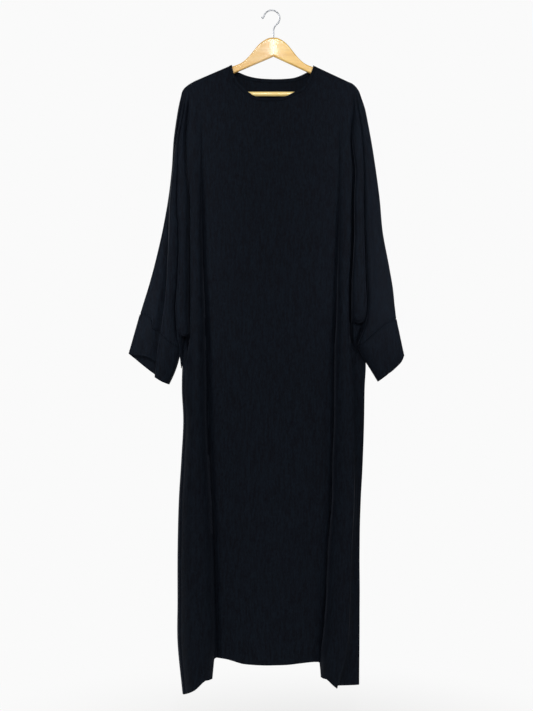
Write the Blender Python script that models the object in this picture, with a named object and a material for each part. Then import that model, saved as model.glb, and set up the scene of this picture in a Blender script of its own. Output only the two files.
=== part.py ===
"""Closed batwing abaya in black crepe, hung on a wooden hanger with a bar and a wire hook.

Metres, +Z up, +X to the viewer's right, +Y away from the viewer.
The origin is the inside top of the hook, where a rail carries it.
"""
import math

import bpy
from mathutils import Vector

MM = 0.001

# Cloth
CLOTH_WALL = 1.6
BINDING_EXTRA = 0.4
SEAM_PULL = 0.17

# Hanger
HANGER_X = 4.5
ARM_LEFT = 213.0
ARM_RIGHT = 206.0
ARM_THICK = 12.0
ARM_SWEEP = 18.0
ARM_JOINT_GAP = 0.3
ARM_TILT = 0.009
CLOTH_OFF_WOOD = 1.4
CLOTH_OFF_FACE = 2.0
BAR_DIAMETER = 12.0
BAR_SPIGOT = 7.0
BAR_Z = -209.0
WIRE_DIAMETER = 3.5
HOOK_RADIUS = 19.75
STEM_HOLE = 4.1

# Wood outline: distance from the middle, top edge, bottom edge
ARM_OUTLINE = (
    (0.0, -65.5, -112.4),
    (10.0, -66.6, -116.9),
    (20.0, -71.0, -121.4),
    (30.0, -77.8, -125.9),
    (40.0, -87.6, -130.4),
    (50.0, -100.0, -134.9),
    (60.0, -112.3, -139.4),
    (70.0, -122.4, -144.0),
    (80.0, -130.2, -148.5),
    (95.0, -137.0, -155.3),
    (103.0, -139.8, -159.0),
    (114.5, -145.0, -164.2),
    (134.5, -154.4, -173.3),
    (164.5, -168.4, -187.5),
    (182.0, -176.7, -198.5),
    (194.5, -182.9, -213.0),
    (202.0, -188.0, -216.0),
    (208.0, -194.5, -214.0),
    (213.0, -204.0, -207.5),
)

# Ends of the cloth's shoulder line, past the wood: x, z
SHOULDER_TIP_LEFT = ((-219.5, -206.0), (-214.5, -198.0), (-209.0, -192.6), (-202.0, -187.0), (-190.0, -179.8))
SHOULDER_TIP_RIGHT = ((195.0, -183.4), (202.0, -188.8), (208.0, -195.4), (212.5, -202.5), (215.5, -209.0))

# Front neckline: x, z, y
NECK_FRONT = (
    (-97.8, -138.6, -11.4), (-96.6, -144.6, -14.0), (-93.5, -156.0, -15.6),
    (-82.0, -178.0, -18.8), (-66.0, -194.0, -21.8), (-38.0, -214.0, -23.4),
    (0.0, -216.4, -23.6), (28.0, -215.0, -23.4), (56.0, -201.5, -22.6),
    (77.0, -191.0, -21.6), (90.0, -172.0, -18.4), (97.5, -156.0, -15.6),
    (101.2, -145.6, -14.0), (102.3, -139.6, -11.4),
)

# Back neckline: x, z, y
NECK_BACK = (
    (-97.8, -138.6, 0.9), (-96.4, -144.6, 3.5), (-92.5, -150.0, 3.9),
    (-79.5, -156.5, 4.4), (-60.0, -164.0, 5.6), (-36.0, -168.6, 6.4),
    (0.0, -170.4, 7.0), (28.0, -170.2, 7.0), (54.0, -168.2, 6.4),
    (73.0, -162.5, 5.4), (87.0, -155.6, 4.2), (96.5, -150.0, 3.9),
    (100.8, -145.6, 3.5), (102.3, -139.6, 0.9),
)

# Folds of the front, from the left sleeve's outer seam: name, x on the shoulder line, (z, x, y) down the fold
LEFT_FOLDS = (
    ("seam", -219.5, ((-245, -229, -18), (-319, -240, -17), (-393, -245, -16), (-467, -254, -15),
                      (-566, -273, -13), (-664, -298, -11), (-748, -324, -9), (-797, -338, -8), (-846, -352, -8))),
    ("outer", -217.8, ((-245, -227, -23), (-319, -238, -22), (-393, -243, -21), (-467, -250, -20),
                       (-566, -264, -18), (-664, -284, -17), (-757, -298, -16), (-803, -320, -15),
                       (-850, -336, -14))),
    ("drape", -215.6, ((-245, -225, -25), (-319, -236, -22), (-393, -241, -19), (-467, -247, -17),
                       (-566, -256, -17), (-664, -270, -17), (-786, -291, -17), (-820, -301, -16),
                       (-853, -308, -15))),
    ("tuck", -213.6, ((-245, -222, -23), (-319, -233, -19), (-393, -238, -15), (-467, -244, -14),
                      (-566, -246, -13), (-664, -253, -12), (-790, -272, -11), (-830, -277, -11),
                      (-872, -281, -12))),
    ("edge", -211.4, ((-245, -219, -26), (-319, -233, -26), (-393, -241, -27), (-467, -249, -29),
                      (-566, -252, -31), (-664, -261, -32), (-795, -273, -31), (-850, -280, -30),
                      (-904, -286, -29))),
    ("crest", -209.0, ((-245, -216, -28), (-319, -229, -29), (-393, -235, -32), (-467, -240, -36),
                       (-566, -242, -39), (-664, -250, -42), (-812, -256, -39), (-862, -264, -36),
                       (-914, -270, -34))),
    ("valley", -206.2, ((-245, -213, -25), (-319, -226, -24), (-393, -229, -25), (-467, -231, -25),
                        (-566, -229, -25), (-664, -237, -25), (-738, -238, -24), (-785, -232, -19),
                        (-832, -224, -12), (-872, -231, -12), (-922, -252, -14))),
    ("ridge", -202.5, ((-245, -209.5, -28), (-319, -219, -32), (-393, -219, -36), (-467, -219, -39),
                       (-566, -219, -42), (-664, -224, -45), (-738, -227, -47), (-786, -218, -44),
                       (-800, -216, -24), (-832, -217, -11), (-911, -221, -10), (-1010, -217, -9),
                       (-1109, -222, -8), (-1208, -228, -8), (-1331, -231, -8), (-1455, -231, -8),
                       (-1554, -231, -8), (-1682, -219, -8))),
    ("pit", -198.0, ((-245, -204, -21), (-319, -210, -15), (-393, -207, -10), (-467, -202, -7),
                     (-566, -202, -5), (-664, -202, -4), (-738, -202, -4), (-800, -202, -5),
                     (-840, -207, -14), (-911, -214, -24), (-1010, -210, -23), (-1109, -214, -24),
                     (-1208, -219, -26), (-1331, -221, -28), (-1455, -221, -29), (-1554, -221, -30),
                     (-1685, -210, -30))),
    ("side", -188.0, ((-245, -193, -27), (-319, -188, -29), (-393, -184, -31), (-467, -184, -34),
                      (-566, -184, -36), (-664, -184, -38), (-738, -184, -40), (-828, -185, -42),
                      (-1010, -187, -44), (-1109, -190, -46), (-1331, -194, -50), (-1554, -193, -54),
                      (-1676, -186, -54))),
    ("trough", -170.0, ((-245, -172, -24.5), (-393, -171, -24), (-467, -171, -23.5), (-566, -170, -22),
                        (-664, -168, -20), (-738, -165, -17), (-911, -161, -15), (-1010, -161, -13),
                        (-1109, -155, -11), (-1208, -150, -10), (-1331, -145, -9), (-1455, -142, -8),
                        (-1554, -139, -7), (-1600, -142, -7))),
)

RIGHT_FOLDS = (
    ("trough", 166.0, ((-245, 166, -24.5), (-467, 165, -24), (-566, 164, -22), (-664, 161, -20),
                       (-738, 160, -18), (-846, 155, -15), (-1010, 154, -13), (-1109, 150, -11),
                       (-1208, 149, -10), (-1331, 139, -9), (-1455, 134, -8), (-1554, 125, -7),
                       (-1608, 118, -7))),
    ("side", 186.0, ((-245, 188, -27), (-319, 184, -29), (-467, 182, -34), (-566, 181, -37),
                     (-664, 176, -40), (-846, 175, -42), (-1010, 180, -44), (-1109, 183, -46),
                     (-1208, 184, -48), (-1331, 176, -50), (-1455, 172, -52), (-1554, 165, -54),
                     (-1650, 148, -54))),
    ("pit", 196.0, ((-245, 201, -21), (-319, 197, -15), (-393, 203, -10), (-467, 198, -7),
                    (-566, 198, -5), (-664, 193, -4), (-738, 192, -4), (-800, 195, -5),
                    (-832, 198, -8), (-911, 205, -10), (-1010, 207, -11), (-1208, 207, -12),
                    (-1331, 200, -13), (-1455, 196, -14), (-1554, 191, -14), (-1628, 174, -14),
                    (-1662, 162, -14))),
    ("ridge", 199.5, ((-245, 206, -27), (-319, 212, -32), (-393, 214, -36), (-467, 213, -39),
                      (-566, 214, -42), (-664, 215, -45), (-738, 216, -46), (-758, 215, -43),
                      (-772, 210, -22), (-830, 205, -9))),
    ("valley", 202.6, ((-245, 211, -24), (-319, 223, -25), (-393, 227, -25), (-467, 228, -25),
                       (-566, 230, -25), (-664, 233, -26), (-738, 235, -27), (-784, 227, -22),
                       (-828, 212, -11), (-870, 234, -12), (-915, 261, -14))),
    ("crest", 205.4, ((-245, 215, -28), (-319, 228, -30), (-393, 232, -33), (-467, 235, -35),
                      (-566, 239, -37), (-664, 244, -39), (-738, 247, -40), (-817, 228, -34),
                      (-860, 246, -32), (-905, 268, -30))),
    ("slope", 208.0, ((-245, 219, -26), (-319, 233, -27), (-393, 240, -28), (-467, 245, -29),
                      (-566, 250, -30), (-664, 259, -31), (-738, 263, -32), (-798, 249, -34),
                      (-845, 268, -33), (-893, 289, -31))),
    ("drape", 210.6, ((-245, 222.5, -25), (-319, 238, -25), (-393, 248, -24), (-467, 257, -24),
                      (-566, 266, -24), (-664, 283, -23), (-771, 284, -24), (-828, 303, -23),
                      (-882, 303, -22))),
    ("outer", 213.2, ((-245, 225.5, -23), (-319, 241.5, -22), (-393, 253, -20), (-467, 263, -18),
                      (-566, 272, -17), (-664, 292, -16), (-762, 301, -15), (-808, 314, -15),
                      (-866, 319, -14))),
    ("seam", 215.5, ((-245, 228.5, -18), (-319, 243, -17), (-393, 255, -16), (-467, 265, -14),
                     (-566, 275, -12), (-664, 295, -11), (-761, 307, -10), (-806, 316, -9),
                     (-850, 326, -8))),
)

SHOULDER_LEFT = (-145.0, -122.0, -107.5, -98.5)
SHOULDER_RIGHT = (147.0, 126.0, 112.0, 103.0)

# Levels shared by all the columns
HANG_LEVELS = (-245.0, -319.0, -393.0, -467.0, -566.0, -664.0, -738.0, -785.0, -802.0)
UNDERARM_LEVEL = -830.0
SKIRT_LEVELS = (-870.0, -935.0, -1010.0, -1109.0, -1208.0, -1331.0, -1455.0, -1554.0)
CUFF_STEPS = (0.34, 0.68, 1.0)

# Middle front: z, y
FRONT_DEPTH = (
    (-216.0, -23.6), (-245.0, -24.4), (-319.0, -24.6), (-467.0, -24.0), (-664.0, -21.5),
    (-828.0, -19.5), (-1109.0, -16.5), (-1400.0, -14.0), (-1610.0, -13.0),
)

# Front hem: x, z
HEM_FRONT = (
    (-219.0, -1682.0), (-197.0, -1685.5), (-170.0, -1672.0), (-145.0, -1655.0), (-142.0, -1600.0),
    (-130.0, -1597.0), (-115.0, -1598.0), (-98.0, -1602.0), (-66.0, -1610.0), (-16.0, -1613.0),
    (33.0, -1612.0), (70.0, -1608.0), (100.0, -1605.0), (116.0, -1606.0), (119.0, -1613.0),
    (123.0, -1640.0), (134.0, -1660.0), (152.0, -1664.0), (166.0, -1659.0), (186.0, -1659.0),
    (211.0, -1670.0),
)

# Back of the skirt at its right, beyond the side seam: z, x of the silhouette
BACK_RIGHT = (
    (-832.0, 212.0), (-870.0, 226.0), (-911.0, 230.0), (-955.0, 230.0), (-1109.0, 226.0),
    (-1208.0, 221.0), (-1331.0, 218.0), (-1554.0, 218.0), (-1628.0, 216.0), (-1670.0, 211.0),
)


def read(table, at, column=1):
    """Value of a table at a place, between its rows, along a smooth monotone curve."""
    rows = sorted((row[0], row[column]) for row in table)
    if at <= rows[0][0]:
        return rows[0][1]
    if at >= rows[-1][0]:
        return rows[-1][1]
    spans = [(b[1] - a[1]) / (b[0] - a[0]) for a, b in zip(rows, rows[1:])]
    index = max(i for i in range(len(spans)) if rows[i][0] <= at)

    def slope(i):
        if i == 0:
            return spans[0]
        if i == len(rows) - 1:
            return spans[-1]
        before, after = spans[i - 1], spans[i]
        if before * after <= 0:
            return 0.0
        return 2 * before * after / (before + after)

    (x0, y0), (x1, y1) = rows[index], rows[index + 1]
    span = x1 - x0
    t = (at - x0) / span
    return ((1 + 2 * t) * (1 - t) ** 2 * y0 + t * (1 - t) ** 2 * span * slope(index)
            + t * t * (3 - 2 * t) * y1 - t * t * (1 - t) * span * slope(index + 1))


def ease(value):
    value = min(1.0, max(0.0, value))
    return value * value * (3 - 2 * value)


def mix(a, b, share):
    return a + (b - a) * share


def sweep(x):
    """Depth of the contoured hanger's middle line."""
    return -ARM_SWEEP * (abs(x - HANGER_X) / 215.0) ** 1.6


def place_on_arm(x):
    """Distance from the hanger's middle, on the scale of the outline table."""
    length = ARM_LEFT if x < HANGER_X else ARM_RIGHT
    return abs(x - HANGER_X) * ARM_LEFT / length


def wood_edge(x, column):
    """Height of the wood's top edge (1) or bottom edge (2)."""
    return read(ARM_OUTLINE, place_on_arm(x), column) - ARM_TILT * (x - HANGER_X)


def shoulder_line(x):
    """Height of the cloth along the shoulders: on the wood, then past its tips."""
    if x < -190.0:
        return read(SHOULDER_TIP_LEFT, x)
    if x > 195.0:
        return read(SHOULDER_TIP_RIGHT, x)
    return wood_edge(x, 1) + CLOTH_OFF_WOOD


def curve_points(points, counts, before=None, after=None):
    """Points of a centripetal curve through the given ones, with counts[i] steps from i to i + 1."""
    first = before or points[0] * 2 - points[1]
    last = after or points[-1] * 2 - points[-2]
    chain = [first] + list(points) + [last]
    result = [points[0]]
    for i, count in enumerate(counts):
        p0, p1, p2, p3 = chain[i:i + 4]
        d0 = max((p1 - p0).length, 1e-4) ** 0.5
        d1 = max((p2 - p1).length, 1e-4) ** 0.5
        d2 = max((p3 - p2).length, 1e-4) ** 0.5
        start = ((p1 - p0) / d0 - (p2 - p0) / (d0 + d1) + (p2 - p1) / d1) * d1
        end = ((p2 - p1) / d1 - (p3 - p1) / (d1 + d2) + (p3 - p2) / d2) * d1
        for step in range(1, count):
            t = step / count
            result.append(p1 * (2 * t ** 3 - 3 * t ** 2 + 1) + start * (t ** 3 - 2 * t ** 2 + t)
                          + p2 * (3 * t ** 2 - 2 * t ** 3) + end * (t ** 3 - t ** 2))
        result.append(p2)
    return result


def over_arm(x, side, angles=(0, 36, 68)):
    """Four points of the cloth over the arm's round top, from the shoulder line down one face."""
    top = shoulder_line(x)
    radius = ARM_THICK / 2 + CLOTH_OFF_WOOD
    reach = ARM_THICK / 2 + CLOTH_OFF_FACE
    points = []
    for degrees in angles:
        turn = math.radians(degrees)
        points.append(Vector((x, sweep(x) + side * reach * math.sin(turn), top - radius * (1 - math.cos(turn)))))
    points.append(Vector((x, sweep(x) + side * reach, top - radius - 2.0)))
    return points


def over_neck_point(x, side):
    """The shoulder column at the neck point, where the binding turns from the front to the back."""
    outward = -1 if x < HANGER_X else 1
    points = []
    for reach, degrees in ((0.0, 0), (3.2, 24), (7.2, 62), (7.8, 90)):
        place = x + outward * reach
        points.append(over_arm(place, side, (degrees,))[0])
    points[-1].z -= 2.0
    return points


def shoulder_tops(places, side):
    """Tops of the shoulder columns next to the neck; the last of the places is the neck point."""
    tops = [over_arm(x, side) for x in places[:-2]]
    tops.append(over_arm(places[-2], side, (0, 22, 48)))
    tops.append(over_neck_point(places[-1], side))
    return tops


def levels_for(end):
    """Levels of a column that ends at its own height instead of the underarm."""
    fixed = [z for z in HANG_LEVELS if z >= -467.0]
    moving = [z for z in HANG_LEVELS if z < -467.0]
    share = (end + 467.0) / (UNDERARM_LEVEL + 467.0)
    return fixed + [-467.0 + (z + 467.0) * share for z in moving] + [end]


def at_level(points, z):
    return Vector((read(points, z, 1), read(points, z, 2), z))


def below_top(top, lower):
    """The whole column: its four top points leaning to the first level, one point halfway, the rest."""
    start, first = top[0], lower[0]
    leaned = [start]
    for point in top[1:]:
        share = (start.z - point.z) / max(1.0, start.z - first.z)
        leaned.append(Vector((point.x + (first.x - start.x) * share, point.y, point.z)))
    last = leaned[-1]
    half = last.lerp(first, 0.45)
    if last.z > -186.0:
        half = last.lerp(first, (last.z + 200.0) / (last.z - first.z))
    if leaned[2].y < leaned[0].y - 0.1:
        half.y = min(half.y, -22.9, sweep(half.x) - 8.0)
    elif leaned[2].y > leaned[0].y + 0.1:
        half.y = max(half.y, sweep(half.x) + 8.0)
    return leaned + [half] + lower


def sleeve_column(x, points, end, side=-1, mouth=None):
    """A fold of a sleeve, from the shoulder line to the cuff's seam and on to the mouth."""
    lower = [at_level(points, z) for z in levels_for(end)]
    column = below_top(over_arm(x, side), lower)
    if mouth is not None:
        column += [at_level(points, mix(end, mouth, share)) for share in CUFF_STEPS]
    return column


def body_column(top, points, hem):
    """A fold of the body, from its top to the hem."""
    lower = [at_level(points, z) for z in HANG_LEVELS + (UNDERARM_LEVEL,) + SKIRT_LEVELS]
    lower.append(at_level(points, hem))
    return below_top(top, lower)


def neck_top(table, index):
    """Four points at the neckline: its edge, and three below it, square to the edge."""
    x, z, y = table[index]
    side = -1 if table is NECK_FRONT else 1
    last = len(table) - 1
    outward = -1 if index < last / 2 else 1
    if index in (0, last):
        radius = ARM_THICK / 2 + CLOTH_OFF_WOOD
        reach = ARM_THICK / 2 + CLOTH_OFF_FACE
        a, b = x + outward * 3.6, x + outward * 7.6
        return [Vector((x, y, z)), Vector((a, sweep(a) + side * reach * 0.93, shoulder_line(a) - radius * 0.66)),
                Vector((b, sweep(b) + side * reach, shoulder_line(b) - radius)),
                Vector((b + outward * 0.6, sweep(b) + side * reach, shoulder_line(b) - radius - 4.0))]
    before, after = table[index - 1], table[index + 1]
    along = Vector((after[0] - before[0], 0, after[1] - before[1])).normalized()
    away = Vector((along.z, 0, -along.x))
    if away.z > 0:
        away = -away
    if index in (1, last - 1):
        away = Vector((outward * 0.88, 0, -0.47))
    edge = Vector((x, y, z))
    forward = Vector((0, -0.04, 0)) if side < 0 else Vector((0, 0.04, 0))
    return [edge] + [edge + (away + forward) * reach for reach in (3.0, 8.0, 12.0)]


def front_columns():
    """Columns of points of the front sheet, from the left outer seam to the right one."""
    columns, names = [], []
    ends = {name: points for name, _, points in LEFT_FOLDS}
    cuff_left = {"seam": (-748, -846), "outer": (-757, -850), "drape": (-786, -853), "tuck": (-790, -872),
                 "edge": (-795, -904), "crest": (-812, -914), "valley": (-832, -922)}
    for name, x, points in LEFT_FOLDS:
        side = 0 if name == "seam" else -1
        if name in cuff_left:
            column = sleeve_column(x, points, cuff_left[name][0], side, cuff_left[name][1])
        else:
            column = body_column(over_arm(x, -1), points, points[-1][0])
        columns.append(column)
        names.append("left_" + name)
    left = ends["trough"]
    right = RIGHT_FOLDS[0][2]
    tops = shoulder_tops(SHOULDER_LEFT, -1)
    tops += [neck_top(NECK_FRONT, i) for i in range(len(NECK_FRONT))]
    tops += shoulder_tops(SHOULDER_RIGHT, -1)[::-1]
    count = len(tops)
    for i, top in enumerate(tops):
        share = (i + 1) / (count + 1)
        lower = []
        hang = HANG_LEVELS + (UNDERARM_LEVEL,) + SKIRT_LEVELS
        for z in hang + (None,):
            if z is None:
                x = mix(-142.0, 118.0, share)
                z = read(HEM_FRONT, x)
            a, b = read(left, z, 1), read(right, z, 1)
            spread = mix(a, b, share)
            x = mix(top[0].x, spread, ease((-150.0 - z) / 260.0)) if z > -1580 else mix(-142.0, 118.0, share)
            middle = read(FRONT_DEPTH, z)
            from_left = (x - a) / max(1.0, b - a)
            fade = ease(from_left / 0.3)
            crisp = ease((1 - from_left) / 0.09)
            depth = mix(read(left, z, 2), middle, fade)
            depth = mix(read(right, z, 2), depth, crisp)
            lower.append(Vector((x, depth, z)))
        columns.append(below_top(top, lower))
        names.append("panel_%02d" % i)
    cuff_right = {"valley": (-828, -915), "crest": (-817, -905), "slope": (-798, -893),
                  "drape": (-771, -882), "outer": (-762, -866), "seam": (-761, -850)}
    for name, x, points in RIGHT_FOLDS:
        side = 0 if name == "seam" else -1
        if name in cuff_right:
            column = sleeve_column(x, points, cuff_right[name][0], side, cuff_right[name][1])
        elif name == "ridge":
            lower = [at_level(points, z) for z in levels_for(-830.0)]
            column = below_top(over_arm(x, -1), lower)
        else:
            column = body_column(over_arm(x, -1), points, points[-1][0])
        columns.append(column)
        names.append("right_" + name)
    return columns, names


def back_depth(x, z, share):
    """Depth of the back: a calm sheet on the hanger that falls into soft folds."""
    deep = ease((-z - 250.0) / 900.0)
    hump = math.sin(math.pi * min(1.0, max(0.0, share))) ** 0.7
    base = mix(mix(-7.0, 3.0, hump), mix(-5.0, 13.0, hump), deep)
    wave = math.cos(2 * math.pi * (share * 6.3 + 0.12)) + 0.4 * math.cos(2 * math.pi * (share * 10.7 + 0.4))
    return base + (0.8 + 3.6 * deep) * wave * min(1.0, 8 * share, 8 * (1 - share))


def back_columns(front, names):
    """Columns of the back sheet, matched one to one with the front's and sharing its seams."""
    total = len(front)
    find = names.index
    in_l, side_l = find("left_valley"), find("left_ridge")
    side_r, mid_r, in_r = find("right_pit"), find("right_ridge"), find("right_valley")
    neck_l, neck_r = find("panel_03"), find("panel_%02d" % (4 + len(NECK_FRONT)))
    columns = []
    x_left, x_right = front[0][0].x, front[total - 1][0].x
    for c in range(total):
        source = front[c]
        if c in (0, total - 1):
            columns.append([p.copy() for p in source])
            continue
        neck = neck_l < c < neck_r
        if neck:
            top = neck_top(NECK_BACK, c - neck_l - 1)
        elif neck_l - 4 < c <= neck_l:
            top = shoulder_tops(SHOULDER_LEFT, 1)[c - neck_l + 3]
        elif neck_r <= c < neck_r + 4:
            top = shoulder_tops(SHOULDER_RIGHT, 1)[3 - (c - neck_r)]
        else:
            top = over_arm(source[0].x, 1)
        sleeve_l, sleeve_r = c <= in_l, c >= in_r
        column = []
        rows = len(front[find("panel_05")])
        hang = 5 + len(HANG_LEVELS)
        for r in range(5, len(source) if (sleeve_l or sleeve_r or c == mid_r) else rows):
            left_edge, right_edge = front[0], front[total - 1]
            if r < hang:
                low = ease((r - 4.0) / 8.0)
                xa, xb = front[in_l][r].x, front[in_r][r].x
                x0, x1 = left_edge[r].x, right_edge[r].x
                if sleeve_l:
                    t = c / in_l
                    hanging = mix(x0, xa, t)
                    z = mix(left_edge[r].z, front[in_l][r].z, t)
                elif sleeve_r:
                    t = (total - 1 - c) / (total - 1 - in_r)
                    hanging = mix(x1, xb, t)
                    z = mix(right_edge[r].z, front[in_r][r].z, t)
                else:
                    t = (c - in_l) / (in_r - in_l)
                    hanging = mix(xa, xb, t)
                    z = HANG_LEVELS[r - 5]
                share_top = (source[0].x - x_left) / (x_right - x_left)
                x = mix(mix(x0, x1, share_top), hanging, low)
                y = back_depth(x, z, (x - x0) / (x1 - x0))
                near = min(x - x0, x1 - x)
                seam_y = left_edge[r].y if x < 0 else right_edge[r].y
                y = mix(seam_y, y, ease(near / 24.0) ** 0.5)
                if sleeve_l or sleeve_r:
                    inner = front[in_l if sleeve_l else in_r][r].y
                    tube_y = mix(seam_y, inner, t) + 15.0 * math.sin(math.pi * t) ** 0.6
                    if c not in (in_l, in_r):
                        y = mix(y, tube_y, ease((r - 8.0) / 6.0))
                hold = ease((-z - 245.0) / 200.0)
                y = mix(max(y, sweep(x) + 8.0), y, hold)
                column.append(Vector((x, y, z)))
            elif r == hang:
                if sleeve_l:
                    t = c / in_l
                    p = front[0][r].lerp(front[in_l][r], t)
                    p.y = mix(p.y, 3.0, math.sin(math.pi * t) ** 0.6)
                elif sleeve_r:
                    t = (total - 1 - c) / (total - 1 - in_r)
                    p = front[total - 1][r].lerp(front[in_r][r], t)
                    p.y = mix(p.y, 3.0, math.sin(math.pi * t) ** 0.6)
                elif c <= side_l or c in (side_r, mid_r):
                    p = source[r].copy()
                else:
                    t = (c - side_l) / (side_r - side_l)
                    x = mix(-217.0, 204.0, t)
                    y = back_depth(x, UNDERARM_LEVEL, mix(0.169, 0.827, t))
                    p = Vector((x, y, UNDERARM_LEVEL))
                column.append(p)
            elif sleeve_l or sleeve_r:
                edge = 0 if sleeve_l else total - 1
                inner = in_l if sleeve_l else in_r
                t = abs(c - edge) / abs(inner - edge)
                p = front[edge][r].lerp(front[inner][r], t)
                if c == inner:
                    p = source[r].copy()
                else:
                    sag = math.sin(math.pi * t)
                    p.y = mix(p.y, 1.0, sag ** 0.6)
                    p.z -= sag * (4.0 if sleeve_l else 9.0) * (r - hang) / 3.0
                column.append(p)
            else:
                step = r - hang - 1
                if c in (side_l, side_r):
                    column.append(source[r].copy())
                    continue
                t = (c - side_l) / (side_r - side_l)
                last = step >= len(SKIRT_LEVELS)
                z = SKIRT_LEVELS[step] if not last else None
                level = z if z is not None else -1600.0
                x0 = read(LEFT_FOLDS[7][2], level, 1)
                x1 = read(BACK_RIGHT, level)
                x = mix(x0, x1, min(1.0, t / 0.955))
                if t > 0.955:
                    x = mix(x1, source[r].x if c == side_r else x1 - 6.0, (t - 0.955) / 0.045)
                share = (x - x0) / (x1 - x0)
                y = back_depth(x, level, mix(0.17, 0.86, share)) + 2.0
                rim = min(1.0, share * 9.0, (1.02 - share) * 9.0)
                y = mix(-4.0, y, max(0.0, rim) ** 0.5)
                if last:
                    z = read(HEM_BACK, share)
                column.append(Vector((x, y, z)))
        columns.append(below_top(top, column))
    return columns


# Back hem: share of the width from the left, z
HEM_BACK = (
    (0.0, -1682.0), (0.06, -1674.0), (0.14, -1650.0), (0.24, -1625.0), (0.4, -1606.0), (0.55, -1602.0),
    (0.7, -1606.0), (0.82, -1622.0), (0.9, -1645.0), (1.0, -1667.0),
)


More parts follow.
